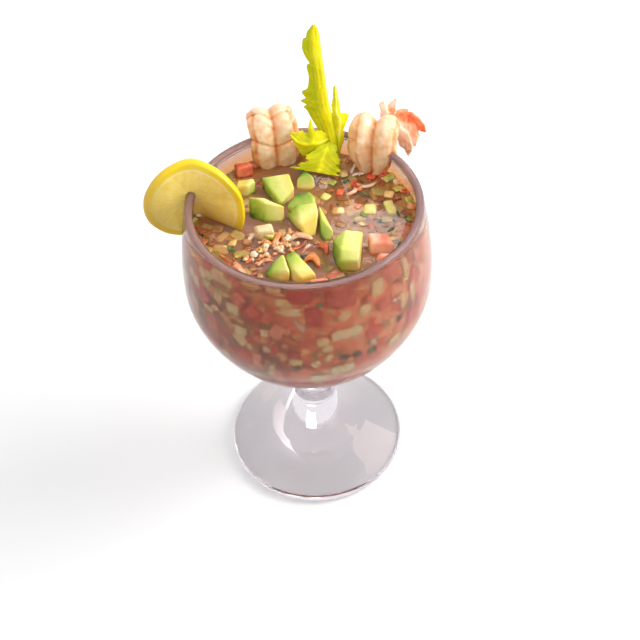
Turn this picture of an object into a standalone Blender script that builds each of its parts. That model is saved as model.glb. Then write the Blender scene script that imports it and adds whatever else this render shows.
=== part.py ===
"""Cup of shrimp cocktail: a stemmed glass bowl filled nearly to its rim, with a lemon slice
and two shrimps hung on the rim, a celery sprig and avocado, tomato and onion on top.
Lengths are in millimetres here and written in metres. The glass stands on z = 0, its axis
is the z axis, and the side that is seen from the front faces -y."""
import math
import random

import bmesh
import bpy
from mathutils import Vector

MM = 0.001

# Goblet
RIM_R = 60.0            # outer radius at the rim
RIM_Z = 198.6           # height of the rim
BELLY_R = 66.6          # widest outer radius
BELLY_Z = 148.2         # height of the widest place
BOWL_BOTTOM_Z = 79.0    # where the bowl's curve would meet the axis
BOWL_POWER = 1.7        # under 2 makes the lower bowl fuller at its foot
WALL = 4.2              # glass thickness in the bowl
FLOOR = 9.0             # glass thickness under the cocktail
FOOT_R = 53.8           # outer radius of the foot
REST_R = 50.0           # radius of the flat underside that stands on the table
ROUND_STEPS = 44        # sides of the turned glass

# Cocktail
LEVEL = 182.0           # height of the liquid's surface
GAP = 0.3               # between any two solids
SUNK = 5.5              # how deep a floating piece reaches below the surface
DICE = 52               # small pieces that break the surface

# Lemon slice on the rim
LEMON_AT = (-55.6, 12.8, 192.6)
LEMON_R = 26.2
LEMON_THICK = 5.0
LEMON_FOLD = (0.36, 0.42)   # how far the outer and inner half come forward, per mm
LEMON_TWIST = 0.014     # the inner half's lower part comes further forward
LEMON_CLOSE = 0.97      # the inner half, bent more, reaches less far across
LEMON_CREASE = 4.0      # how softly it bends at the slit
LEMON_LEAN = -0.09      # the top leans forward

SHRIMP_T = 13.0         # thickness of a shrimp's split body

# Floating pieces: corners seen above the surface, then the corners of the foot (x, y)
PIECES = {
    "avocado_1": (
        [(-35.1, 32.4, 186.6), (-26.7, 30.6, 189.1), (-25.7, 28.3, 188.6),
         (-29.9, 25.1, 188.6), (-36.1, 26.3, 186.6)],
        [(-36.1, 32.7), (-26.8, 31.7), (-26.0, 27.9), (-30.5, 25.0), (-36.4, 26.0)]),
    "avocado_2": (
        [(-22.2, 31.2, 189.1), (-7.3, 29.6, 192.1), (-4.9, 21.5, 188.6), (-12.3, 15.1, 184.0)],
        [(-23.0, 33.5), (-8.2, 31.1), (-5.8, 23.0), (-12.0, 16.1), (-16.7, 19.3)]),
    "avocado_3": (
        [(-28.9, 14.7, 190.1), (-20.5, 8.2, 191.6), (-10.1, 6.8, 189.1), (-20.4, 12.0, 191.1)],
        [(-28.8, 14.3), (-28.7, 6.6), (-20.1, 2.3), (-12.6, 2.2), (-10.6, 6.1), (-20.4, 12.2)]),
    "avocado_4": (
        [(-3.9, 30.5, 186.6), (0.6, 35.2, 189.3), (4.1, 30.5, 189.6), (6.0, 29.7, 187.1)],
        [(-4.1, 27.5), (3.1, 26.0), (6.2, 30.5), (0.9, 35.6), (-3.7, 31.5)]),
    "avocado_5": (
        [(-2.7, 17.7, 189.1), (3.1, 16.1, 190.6), (5.8, 14.4, 188.1), (5.1, 10.2, 186.1),
         (-8.4, 11.6, 183.6), (-9.1, 13.0, 184.0)],
        [(-2.7, 18.3), (5.4, 16.3), (5.2, 10.4), (-7.8, 11.2), (-8.8, 13.2)]),
    "avocado_6": (
        [(-4.1, 6.1, 190.6), (6.0, 5.7, 192.1), (6.9, -2.3, 190.6), (-2.6, -6.2, 188.1),
         (-9.1, 7.2, 184.0)],
        [(-4.1, 8.2), (5.4, 7.6), (4.2, -10.9), (1.5, -10.1), (-3.7, -1.4), (-8.8, 7.0)]),
    "avocado_7": (
        [(7.6, 9.6, 187.1), (14.1, -10.1, 186.1), (8.0, -1.3, 188.1)],
        [(8.2, 9.0), (14.3, -9.1), (7.2, -14.5), (7.4, -2.6)]),
    "avocado_8": (
        [(-12.5, -27.4, 188.1), (-11.1, -26.9, 188.1), (-8.2, -38.7, 187.1),
         (-20.6, -34.6, 183.6)],
        [(-13.3, -25.9), (-11.2, -26.1), (-9.2, -40.1), (-16.3, -39.1), (-20.6, -35.7)]),
    "avocado_9": (
        [(-10.1, -27.3, 188.1), (-5.8, -26.9, 190.1), (4.6, -40.3, 186.1),
         (-3.1, -41.9, 185.0), (-7.0, -37.1, 187.1)],
        [(-9.6, -26.5), (-5.6, -26.1), (4.8, -39.3), (-3.2, -42.3), (-7.8, -40.3)]),
    "avocado_10": (
        [(19.9, -14.5, 191.1), (28.6, -16.5, 191.1), (25.9, -29.6, 191.1),
         (16.6, -28.1, 191.1), (13.3, -16.8, 186.1), (16.6, -33.4, 187.7),
         (25.6, -34.2, 187.7)],
        [(14.5, -14.3), (28.3, -15.6), (25.9, -35.2), (16.2, -34.4), (12.9, -25.9)]),
    "tomato_1": (
        [(31.6, -13.1, 186.6), (40.9, -14.1, 186.6), (44.0, -20.8, 186.1),
         (32.8, -21.4, 187.1)],
        [(31.2, -12.7), (41.5, -13.5), (44.6, -19.8), (42.3, -26.3), (31.4, -25.3)]),
    "tomato_2": (
        [(-37.6, 45.2, 187.4), (-28.4, 45.4, 188.4), (-27.2, 42.6, 188.0),
         (-35.6, 40.6, 187.0)],
        [(-37.2, 44.6), (-28.0, 45.0), (-27.4, 40.8), (-35.8, 39.6)]),
    "onion_1": (
        [(-26.0, -3.5, 186.1), (-17.1, -2.5, 186.6), (-15.7, -8.1, 186.1),
         (-24.4, -8.7, 186.6)],
        [(-26.9, -3.6), (-16.9, -2.0), (-15.5, -8.7), (-22.3, -10.7), (-27.1, -7.9)]),
}

# Celery: rows of (z, left edge, rib, right edge), at its own depth y
CELERY = [
    (176.4, 16.8, 18.8, 20.8), (183.0, 16.6, 18.6, 20.6), (192.1, 14.7, 17.4, 19.6),
    (200.3, 11.9, 16.0, 18.6), (208.4, 8.4, 14.7, 17.4), (214.5, 5.6, 13.7, 16.6),
    (219.5, 3.4, 13.0, 15.8), (221.2, 2.0, 12.7, 15.3), (222.6, 3.6, 12.5, 15.1),
    (225.0, 0.7, 12.2, 14.9), (226.4, 3.2, 12.0, 14.7), (230.3, 1.5, 11.5, 14.3),
    (232.3, 4.4, 11.3, 14.1), (238.8, 5.3, 10.6, 13.5), (244.7, 4.5, 10.1, 13.0),
    (246.3, 6.0, 10.0, 12.8), (250.0, 4.2, 9.7, 12.5), (255.0, 2.7, 9.3, 12.1),
    (259.5, 3.3, 8.9, 11.7), (260.5, 4.8, 8.6, 11.6), (263.2, 5.4, 8.4, 11.2),
    (265.4, 7.0, 8.6, 10.7), (267.2, 8.2, 8.9, 9.5)]
# A leaflet: rows of (left, middle, right) points
RIGHT_LEAF = [
    [(18.4, 45.7, 188.1), (19.0, 45.7, 188.1), (19.6, 45.7, 188.1)],
    [(17.8, 46.3, 198.2), (19.8, 45.9, 197.2), (21.8, 46.7, 198.2)],
    [(17.2, 46.9, 206.3), (20.0, 46.3, 205.3), (22.9, 47.5, 205.8)],
    [(16.8, 47.3, 212.4), (20.2, 46.7, 212.4), (24.3, 48.4, 213.5)],
    [(16.8, 47.7, 217.5), (18.8, 47.1, 216.5), (21.2, 48.5, 215.0)],
    [(17.0, 48.1, 221.6), (18.6, 47.7, 222.0), (20.0, 48.6, 220.6)],
    [(17.6, 48.6, 226.6), (18.6, 48.1, 226.6), (19.5, 49.0, 226.6)],
    [(18.2, 49.0, 231.3), (18.4, 48.8, 231.7), (18.7, 49.0, 231.3)]]
LEFT_LEAF = [
    [(14.5, 45.5, 199.9), (14.7, 45.1, 201.9), (14.3, 45.9, 203.9)],
    [(10.7, 43.5, 196.8), (10.7, 42.7, 201.3), (10.5, 44.1, 206.3)],
    [(7.2, 42.1, 195.4), (7.4, 41.3, 201.3), (7.0, 43.1, 208.4)],
    [(5.4, 41.3, 196.0), (5.8, 40.4, 202.3), (5.2, 42.7, 213.2)],
    [(3.4, 40.6, 195.0), (3.6, 39.8, 202.3), (3.2, 41.5, 208.6)],
    [(0.3, 40.2, 196.0), (0.5, 39.2, 203.3), (0.1, 40.8, 209.0)],
    [(-2.7, 40.0, 201.1), (-2.5, 39.2, 205.3), (-2.9, 40.4, 209.8)],
    [(-5.4, 40.0, 208.6), (-5.5, 39.6, 209.2), (-5.6, 40.0, 209.8)]]
FAN_LEAF = [
    [(13.1, 44.5, 199.7), (14.7, 44.1, 200.3), (16.4, 44.5, 199.7)],
    [(7.8, 41.3, 198.6), (13.5, 40.6, 198.2), (18.0, 41.5, 197.4)],
    [(3.6, 37.8, 196.6), (11.1, 37.0, 195.4), (18.4, 38.0, 192.8)],
    [(2.0, 35.6, 194.2), (9.7, 34.8, 192.6), (18.0, 36.0, 189.3)],
    [(-1.3, 34.8, 192.3), (8.6, 33.3, 190.3), (18.2, 34.6, 186.9)],
    [(-4.7, 34.6, 190.9), (7.6, 32.5, 189.0), (17.2, 33.5, 185.4)]]

# Shrimps: base point, heading over the rim, depth of the groove, how slim the head end is,
# width, number of seams across and the part of the length at which the first one lies,
# then the body's middle line as (d, z)
SHRIMPS = {
    "shrimp_left": {
        "at": (-4.0, 3.0), "heading": 102.0, "cleft": 0.42, "head": 0.85, "wide": 30.0,
        "seams": 4.0, "first": 0.06,
        "line": [(49.6, 174.0), (49.8, 183.0), (50.4, 193.0), (53.0, 201.0), (58.0, 205.4),
                 (63.6, 204.4), (67.0, 199.4), (68.6, 193.0)]},
    "shrimp_right": {
        "at": (33.8, 28.6), "heading": 74.0, "cleft": 0.78, "head": 0.42, "wide": 30.0,
        "seams": 3.0, "first": 0.1,
        "line": [(12.2, 176.0), (12.0, 184.0), (11.6, 194.0), (13.2, 202.2), (17.4, 207.0),
                 (23.0, 206.8), (28.4, 201.6)]},
}
# The tail outside the rim: blades from one root, each to a tip and with a width
TAIL_ROOT = (46.0, 53.4, 202.6)
TAIL = [((43.2, 62.4, 210.8), 7.0), ((51.4, 63.6, 211.0), 7.5), ((58.2, 57.4, 206.0), 9.0),
        ((66.2, 50.6, 198.6), 10.0), ((62.0, 50.4, 190.0), 10.0), ((57.6, 48.8, 184.4), 8.5)]
TAIL_THICK = 2.4


def material(name, colour, rough, clear=0.0):
    """A Principled material with the given base colour."""
    made = bpy.data.materials.new(name)
    made.use_nodes = True
    shader = made.node_tree.nodes["Principled BSDF"]
    shader.inputs["Base Color"].default_value = (*colour, 1.0)
    shader.inputs["Roughness"].default_value = rough
    shader.inputs["Transmission Weight"].default_value = clear
    made.diffuse_color = (*colour, 1.0)
    return made


def add(name, points, faces, mat=None):
    """An object from points in mm, with normals facing out."""
    mesh = bpy.data.meshes.new(name)
    mesh.from_pydata([Vector(p) * MM for p in points], [], faces)
    bm = bmesh.new()
    bm.from_mesh(mesh)
    bmesh.ops.recalc_face_normals(bm, faces=bm.faces)
    if bm.calc_volume(signed=True) < 0:
        bmesh.ops.reverse_faces(bm, faces=bm.faces)
    bm.to_mesh(mesh)
    bm.free()
    if mat:
        mesh.materials.append(mat)
    made = bpy.data.objects.new(name, mesh)
    bpy.context.scene.collection.objects.link(made)
    return made


def remove(objects):
    """Takes away helper objects once their shape has been used."""
    for ob in list(objects):
        bpy.data.objects.remove(ob)


def combine(ob, others, operation, solver="MANIFOLD"):
    """One Boolean with a collection of the other objects, applied; the others are removed."""
    group = bpy.data.collections.new(ob.name + "_tools")
    bpy.context.scene.collection.children.link(group)
    for other in others:
        group.objects.link(other)
        bpy.context.scene.collection.objects.unlink(other)
    step = ob.modifiers.new(operation.lower(), "BOOLEAN")
    step.operand_type = "COLLECTION"
    step.collection = group
    step.operation = operation
    step.solver = solver
    apply_all(ob)
    remove(group.objects)
    bpy.data.collections.remove(group)


def apply_all(ob):
    """Replaces the mesh by the one its modifiers give."""
    graph = bpy.context.evaluated_depsgraph_get()
    done = bpy.data.meshes.new_from_object(ob.evaluated_get(graph), depsgraph=graph)
    ob.modifiers.clear()
    ob.data = done


def keep_largest(ob, least=2e-7):
    """Drops vertices that lie on one another and scraps that came loose in a cut."""
    bm = bmesh.new()
    bm.from_mesh(ob.data)
    bmesh.ops.remove_doubles(bm, verts=bm.verts, dist=least)
    bmesh.ops.dissolve_degenerate(bm, edges=bm.edges, dist=least)
    left = set(bm.verts)
    parts = []
    while left:
        found, front = set(), [left.pop()]
        while front:
            vert = front.pop()
            found.add(vert)
            near = {edge.other_vert(vert) for edge in vert.link_edges} & left
            left -= near
            front.extend(near)
        parts.append(found)
    parts.sort(key=len)
    for part in parts[:-1]:
        bmesh.ops.delete(bm, geom=list(part), context="VERTS")
    bm.to_mesh(ob.data)
    bm.free()


def shade(ob, smooth=True):
    """Smooth or flat shading for every face."""
    ob.data.polygons.foreach_set("use_smooth", [smooth] * len(ob.data.polygons))
    ob.data.update()


def turned(name, profile, mat=None, steps=ROUND_STEPS, loop=False):
    """A closed solid turned about z from (r, z) points; r = 0 gives a single point.
    A loop turns a closed line into a ring."""
    points, rings = [], []
    for r, z in profile:
        if r < 1e-6:
            rings.append([len(points)] * steps)
            points.append((0.0, 0.0, z))
            continue
        rings.append(list(range(len(points), len(points) + steps)))
        turn = [2 * math.pi * i / steps for i in range(steps)]
        points += [(r * math.cos(a), r * math.sin(a), z) for a in turn]
    faces = []
    for low, high in zip(rings, rings[1:] + rings[:1] * loop):
        for i in range(steps):
            j = (i + 1) % steps
            face = list(dict.fromkeys((low[i], low[j], high[j], high[i])))
            if len(face) > 2:
                faces.append(face)
    return add(name, points, faces, mat)


def bowl_radius(z):
    """Outer radius of the bowl at height z."""
    if z >= BELLY_Z:
        part = (z - BELLY_Z) / (RIM_Z - BELLY_Z)
        return BELLY_R - (BELLY_R - RIM_R) * part ** 2
    part = (BELLY_Z - z) / (BELLY_Z - BOWL_BOTTOM_Z)
    return BELLY_R * (1 - min(part, 1.0) ** BOWL_POWER) ** (1 / BOWL_POWER)


def lower_bowl(deep, out, first, last, steps):
    """Points of the bowl's lower curve from the belly down: drawn in by deep and out."""
    curve = []
    for i in range(steps):
        a = math.radians(first + (last - first) * i / (steps - 1))
        r = (BELLY_R - out) * math.cos(a) ** (2 / BOWL_POWER)
        z = BELLY_Z - (BELLY_Z - BOWL_BOTTOM_Z - deep) * math.sin(a) ** (2 / BOWL_POWER)
        curve.append((r, z))
    return curve


def upper_bowl(out, low, high, steps):
    """Points of the bowl's upper curve from low to high, drawn in by out."""
    heights = [low + (high - low) * i / (steps - 1) for i in range(steps)]
    return [(bowl_radius(z) - out, z) for z in heights]


def goblet_profile():
    """The outer line from the flat underside to the rim, and back down inside."""
    foot = [(0.0, 0.0), (REST_R, 0.0), (52.6, 1.0), (FOOT_R, 3.2), (53.2, 5.4), (51.0, 7.2),
            (46.0, 10.2), (38.0, 15.0), (31.0, 19.4), (29.4, 20.8), (26.0, 23.6),
            (20.0, 29.4), (15.6, 36.4), (13.0, 44.4), (12.4, 53.0), (13.4, 63.0),
            (17.0, 73.6), (23.6, 84.0)]
    outer = lower_bowl(0.0, 0.0, 60.0, 0.0, 9) + upper_bowl(0.0, 158.0, 195.0, 5)
    lip = WALL / 2
    middle = bowl_radius(RIM_Z - lip) - lip
    turn = [math.radians(a) for a in (22, 56, 90, 124, 158)]
    rim = [(middle + lip * math.cos(a), RIM_Z - lip + lip * math.sin(a)) for a in turn]
    inner = upper_bowl(WALL, 195.0, 158.0, 5) + lower_bowl(FLOOR, WALL, 0.0, 87.0, 11)
    return foot + outer + rim + inner + [(0.0, BOWL_BOTTOM_Z + FLOOR)]


def cocktail_profile():
    """The filling up to its level, just clear of the glass."""
    out = WALL + GAP
    under = [(0.0, BOWL_BOTTOM_Z + FLOOR + GAP)]
    under += lower_bowl(FLOOR + GAP, out, 87.0, 0.0, 11)
    side = upper_bowl(out, 158.0, LEVEL, 4)
    return under + side + [(0.0, LEVEL)]


def wall_tool(name):
    """The rim and wall grown by the gap, to cut what hangs on the rim."""
    half = WALL / 2 + GAP
    middle = bowl_radius(RIM_Z - WALL / 2) - WALL / 2
    outer = upper_bowl(-GAP, 160.0, 196.0, 6)
    turn = [math.radians(a) for a in (20, 55, 90, 125, 160)]
    top = RIM_Z - WALL / 2
    rim = [(middle + half * math.cos(a), top + half * math.sin(a)) for a in turn]
    inner = upper_bowl(WALL + GAP, 196.0, 160.0, 6)
    return turned(name, outer + rim + inner, steps=96, loop=True)


def chunk(name, top, foot, mat=None, grow=0.0):
    """A convex piece from its upper corners and its foot below the surface."""
    points = list(top) + [(x, y, LEVEL - SUNK) for x, y in foot]
    bm = bmesh.new()
    for p in points:
        bm.verts.new(Vector(p) * MM)
    hull = bmesh.ops.convex_hull(bm, input=bm.verts)
    inside = [v for v in bm.verts if not v.link_faces]
    bmesh.ops.delete(bm, geom=inside, context="VERTS")
    bmesh.ops.recalc_face_normals(bm, faces=bm.faces)
    if grow:
        middle = sum((v.co for v in bm.verts), Vector()) / len(bm.verts)
        for v in bm.verts:
            v.co += (v.co - middle).normalized() * grow * MM
    mesh = bpy.data.meshes.new(name)
    bm.to_mesh(mesh)
    bm.free()
    if mat:
        mesh.materials.append(mat)
    made = bpy.data.objects.new(name, mesh)
    bpy.context.scene.collection.objects.link(made)
    return made


def soften(ob, width=0.7):
    """Breaks the sharp edges of a cut piece."""
    step = ob.modifiers.new("edge", "BEVEL")
    step.width = width * MM
    step.segments = 1
    step.limit_method = "ANGLE"
    step.angle_limit = math.radians(20)
    apply_all(ob)
    keep_largest(ob)


def lemon_place(x, z, side):
    """A point of the slice: x across, z up from its middle, side through its thickness."""
    bend = (math.hypot(x, LEMON_CREASE) - LEMON_CREASE) * LEMON_FOLD[x > 0]
    if x > 0:
        bend += LEMON_TWIST * x * max(0.0, 5.0 - z)
    y = LEMON_AT[1] - bend + z * LEMON_LEAN + side
    return (LEMON_AT[0] + x * (LEMON_CLOSE if x > 0 else 1.0), y, LEMON_AT[2] + z)


def lemon_solid(name, mat=None, grow=0.0, steps=36):
    """The round slice as a folded disc: rings on both faces and a rim between them."""
    radii = [0.0, 7.0, 15.0, LEMON_R - 2.6, LEMON_R - 0.5 + grow, LEMON_R + grow]
    half = LEMON_THICK / 2 + grow
    depths = [half, half, half, half, half, half - 0.8]
    points, rings = [], []
    for sign in (1, -1):
        for r, depth in zip(radii, depths):
            if r == 0.0:
                rings.append([len(points)] * steps)
                points.append(lemon_place(0.0, 0.0, sign * depth))
                continue
            rings.append(list(range(len(points), len(points) + steps)))
            for i in range(steps):
                a = 2 * math.pi * i / steps
                points.append(lemon_place(r * math.cos(a), r * math.sin(a), sign * depth))
    count = len(radii)
    pairs = [(i, i + 1) for i in range(count - 1)]
    pairs += [(count + i, count + i + 1) for i in range(count - 1)]
    pairs.append((count - 1, 2 * count - 1))
    faces = []
    for low, high in pairs:
        for i in range(steps):
            j = (i + 1) % steps
            quad = (rings[low][i], rings[low][j], rings[high][j], rings[high][i])
            corners = list(dict.fromkeys(quad))
            if len(corners) == 4:
                faces += [(corners[0], corners[1], corners[2]),
                          (corners[0], corners[2], corners[3])]
            else:
                faces.append(corners)
    return add(name, points, faces, mat)


def along(line, part):
    """The point and direction at a part 0..1 of a smooth line through (d, z) points."""
    spot = part * (len(line) - 1)
    i = min(int(spot), len(line) - 2)
    t = spot - i
    before = line[max(i - 1, 0)]
    after = line[min(i + 2, len(line) - 1)]
    point, slope = [], []
    for a, b, c, d in zip(before, line[i], line[i + 1], after):
        point.append(0.5 * (2 * b + (c - a) * t + (2 * a - 5 * b + 4 * c - d) * t ** 2
                            + (3 * b - a - 3 * c + d) * t ** 3))
        slope.append(0.5 * ((c - a) + 2 * (2 * a - 5 * b + 4 * c - d) * t
                            + 3 * (3 * b - a - 3 * c + d) * t ** 2))
    return point, slope


def shrimp_section(turn, cleft):
    """Across (w) and out (t) of the split body at an angle, for width and thickness 1."""
    w = math.cos(turn)
    t = math.sin(turn)
    dip = math.exp(-(w / 0.3) ** 2)
    t *= 1 - (cleft if t > 0 else 0.25) * dip
    return w / 2, t / 2


def shrimp_body(name, spec, mat=None, grow=0.0, rows=31, around=20):
    """The body swept over the rim, with bulging segments and a groove along its back."""
    heading = math.radians(spec["heading"])
    ahead = (math.cos(heading), math.sin(heading))
    aside = (math.sin(heading), -math.cos(heading))
    points = []
    for i in range(rows):
        part = i / (rows - 1)
        (d, z), (sd, sz) = along(spec["line"], part)
        size = math.hypot(sd, sz)
        out = (-sz / size, sd / size)
        seam = math.sin(math.pi * spec["seams"] * (part - spec["first"]))
        bulge = 0.86 + 0.14 * abs(seam) ** 0.6
        end = min(1.0, 0.35 + 2.6 * math.sin(math.pi * min(max(part, 0.02), 0.98)))
        grown = min(part / 0.42, 1.0)
        taper = spec["head"] + (1 - spec["head"]) * grown * grown * (3 - 2 * grown)
        taper *= 1.0 - 0.2 * part
        wide = spec["wide"] * bulge * end * taper + 2 * grow
        thick = SHRIMP_T * bulge * end * taper + 2 * grow
        for k in range(around):
            w, t = shrimp_section(2 * math.pi * k / around, spec["cleft"])
            far = d + out[0] * t * thick
            x = spec["at"][0] + ahead[0] * far + aside[0] * w * wide
            y = spec["at"][1] + ahead[1] * far + aside[1] * w * wide
            points.append((x, y, z + out[1] * t * thick))
    faces = []
    for i in range(rows - 1):
        for k in range(around):
            j = (k + 1) % around
            low, high = i * around, (i + 1) * around
            faces.append((low + k, low + j, high + j))
            faces.append((low + k, high + j, high + k))
    for row in (0, rows - 1):
        ring = points[row * around:(row + 1) * around]
        middle = [sum(p[a] for p in ring) / around for a in range(3)]
        points.append(tuple(middle))
        faces += [(row * around + k, row * around + (k + 1) % around, len(points) - 1)
                  for k in range(around)]
    return add(name, points, faces, mat)


def blade(name, root, tip, width, thick):
    """A flat tail blade or leaf tip, wide past its middle and pointed at the end."""
    root, tip = Vector(root), Vector(tip)
    ahead = (tip - root).normalized()
    aside = ahead.cross(Vector((0.6, 0.6, -0.5))).normalized()
    up = ahead.cross(aside).normalized()
    points = []
    shape = ((0.0, 0.45, 1.0), (0.35, 0.8, 0.9), (0.7, 1.0, 0.7), (0.92, 0.7, 0.5),
             (1.0, 0.3, 0.4))
    for part, wide, deep in shape:
        middle = root.lerp(tip, part)
        for a, b in ((1, 0.35), (0, 1), (-1, 0.35), (-1, -0.35), (0, -1), (1, -0.35)):
            side = aside * (a * wide * width / 2) + up * (b * deep * thick / 2)
            points.append(tuple(middle + side))
    faces = [tuple(range(6)), tuple(range(24, 30))]
    for i in range(4):
        for k in range(6):
            j = (k + 1) % 6
            faces.append((i * 6 + k, i * 6 + j, i * 6 + 6 + j, i * 6 + 6 + k))
    return add(name, points, faces)


def sheet(name, rows, thick):
    """A thin wavy solid through rows of three points, both faces split alike."""
    across = len(rows[0])
    grid = [[Vector(p) for p in row] for row in rows]
    points = []
    for side in (1, -1):
        for i, row in enumerate(grid):
            for k, p in enumerate(row):
                ahead = grid[min(i + 1, len(grid) - 1)][k] - grid[max(i - 1, 0)][k]
                over = row[min(k + 1, across - 1)] - row[max(k - 1, 0)]
                face = ahead.cross(over).normalized()
                deep = thick if 0 < k < across - 1 else thick * 0.6
                points.append(tuple(p + face * (side * deep / 2)))
    size = len(rows) * across
    faces = []
    for base in (0, size):
        for i in range(len(rows) - 1):
            for k in range(across - 1):
                a = base + i * across + k
                faces.append((a, a + 1, a + across + 1))
                faces.append((a, a + across + 1, a + across))
    border = list(range(across))
    border += [i * across + across - 1 for i in range(1, len(rows))]
    border += [size - 1 - k for k in range(1, across)]
    border += [i * across for i in range(len(rows) - 2, 0, -1)]
    for a, b in zip(border, border[1:] + border[:1]):
        faces.append((a, b, size + b, size + a))
    return add(name, points, faces)


def celery_depth(z):
    """The stalk leans back as it rises."""
    return 44.5 + (z - LEVEL) * 0.055


def stalk(name, mat=None, grow=0.0):
    """The celery stalk: rows across, thick at the rib and thin at its leafy left edge."""
    shares = ((0.0, 0.5), (0.5, 1.0), (0.86, 1.9), (1.0, 2.1))
    points = []
    for z, left, rib, right in CELERY:
        y = celery_depth(z)
        slim = min(1.0, (272.4 - z) / 12)
        line = [(left + (rib - left) * s, t * slim) for s, t in shares]
        line += [(rib + (right - rib) * 0.6, 1.8 * slim), (right, 0.9 * slim)]
        middle = (left + right) / 2
        line = [(x + grow * (1 if x > middle else -1), t + grow) for x, t in line]
        points += [(x, y - t, z) for x, t in line]
        points += [(x, y + t, z) for x, t in reversed(line)]
    around = 12
    faces = []
    for i in range(len(CELERY) - 1):
        for k in range(around):
            j = (k + 1) % around
            low, high = i * around, (i + 1) * around
            faces.append((low + k, low + j, high + j))
            faces.append((low + k, high + j, high + k))
    last = (len(CELERY) - 1) * around
    for start in (0, last):
        faces += [(start + k, start + k + 1, start + 10 - k, start + 11 - k)
                  for k in range(5)]
    return add(name, points, faces, mat)


def dice(spots):
    """Small pieces that break the surface, each a turned block partly under it."""
    random.seed(7)
    made = []
    tries = 0
    while len(made) < DICE and tries < 4000:
        tries += 1
        r = 55.0 * math.sqrt(random.random())
        a = random.uniform(0, 2 * math.pi)
        x, y = r * math.cos(a), r * math.sin(a)
        size = random.uniform(3.0, 5.6)
        if r + size > 55.5 or any(math.hypot(x - u, y - v) < w + size * 0.9
                                  for u, v, w in spots):
            continue
        spots.append((x, y, size * 0.5))
        long = size * random.uniform(1.0, 1.5)
        turn = random.uniform(0, math.pi)
        tilt = random.uniform(-0.5, 0.5)
        rise = random.uniform(0.4, 1.6)
        points = []
        for u in (-1, 1):
            for v in (-1, 1):
                for w in (-1, 1):
                    px, py, pz = u * long / 2, v * size / 2, w * size / 2
                    px, pz = (px * math.cos(tilt) - pz * math.sin(tilt),
                              px * math.sin(tilt) + pz * math.cos(tilt))
                    points.append((x + px * math.cos(turn) - py * math.sin(turn),
                                   y + px * math.sin(turn) + py * math.cos(turn),
                                   LEVEL - size / 2 + rise + pz))
        faces = [(0, 1, 3, 2), (4, 6, 7, 5), (0, 4, 5, 1), (2, 3, 7, 6), (0, 2, 6, 4),
                 (1, 5, 7, 3)]
        made.append(add("dice", points, faces))
    return made


def taken_spots():
    """Where the larger pieces stand in the surface, as (x, y, radius)."""
    spots = []
    for top, foot in PIECES.values():
        xs = [p[0] for p in foot] + [p[0] for p in top]
        ys = [p[1] for p in foot] + [p[1] for p in top]
        middle = ((max(xs) + min(xs)) / 2, (max(ys) + min(ys)) / 2)
        spots.append((*middle, 0.36 * math.hypot(max(xs) - min(xs), max(ys) - min(ys))))
    spots += [(-14.0, 53.0, 14.0), (18.8, 44.5, 4.0), (39.0, 43.0, 12.0)]
    spots += [(x, 12.0 - (x + 55.6) * 0.5, 4.0) for x in (-52, -45, -38, -32)]
    return spots


def build():
    """Every sub-part as one named object."""
    glass = material("clear_glass", (0.86, 0.88, 0.90), 0.05, 0.9)
    broth = material("cocktail_mix", (0.55, 0.20, 0.12), 0.35)
    rind = material("lemon", (0.90, 0.72, 0.10), 0.45)
    leaf = material("celery_leaf", (0.62, 0.70, 0.05), 0.5)
    prawn = material("shrimp_flesh", (0.88, 0.60, 0.46), 0.4)
    green = material("avocado_flesh", (0.60, 0.70, 0.25), 0.5)
    red = material("tomato_flesh", (0.85, 0.20, 0.12), 0.4)
    white = material("onion_flesh", (0.85, 0.80, 0.62), 0.4)
    kinds = {"avocado": green, "tomato": red, "onion": white}

    shade(turned("goblet", goblet_profile(), glass))

    lemon = lemon_solid("lemon_slice", rind)
    combine(lemon, [wall_tool("wall_a")], "DIFFERENCE")
    keep_largest(lemon)
    shade(lemon)

    for name, spec in SHRIMPS.items():
        body = shrimp_body(name, spec, prawn)
        if name == "shrimp_right":
            blades = [blade("blade", TAIL_ROOT, tip, width, TAIL_THICK)
                      for tip, width in TAIL]
            combine(body, blades, "UNION")
        combine(body, [wall_tool("wall_b")], "DIFFERENCE")
        keep_largest(body)
        shade(body)

    celery = stalk("celery", leaf)
    leaves = [sheet("right_leaf", RIGHT_LEAF, 1.3), sheet("left_leaf", LEFT_LEAF, 1.3),
              sheet("fan_leaf", FAN_LEAF, 1.3)]
    combine(celery, leaves, "UNION")
    keep_largest(celery)
    shade(celery)

    for name, (top, foot) in PIECES.items():
        soften(chunk(name, top, foot, kinds[name.split("_")[0]]))

    mix = turned("cocktail", cocktail_profile(), broth)
    combine(mix, dice(taken_spots()), "UNION")
    tools = [chunk("hole", top, foot, grow=0.9) for top, foot in PIECES.values()]
    tools += [shrimp_body("hole", spec, grow=0.4) for spec in SHRIMPS.values()]
    tools += [lemon_solid("hole", grow=0.4), stalk("hole", grow=0.4)]
    combine(mix, tools, "DIFFERENCE")
    keep_largest(mix)
    shade(mix, False)


for old in list(bpy.data.objects):
    bpy.data.objects.remove(old)
build()
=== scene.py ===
"""Looks of the cup of shrimp cocktail: a stemmed glass bowl of cloudy tomato broth full of
diced vegetables, with avocado cubes, a celery heart leaf, a lemon slice and two shrimps.
Places and sizes in the functions are in millimetres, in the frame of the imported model: the
goblet's axis is z, it stands on z = 0, and the front faces -y. The sizes and colours that a
user would change are properties, in metres and sRGB."""
import math
import random

import bpy
import numpy as np
from bpy.props import FloatProperty, FloatVectorProperty, PointerProperty
from mathutils import Matrix, Vector, noise


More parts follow.
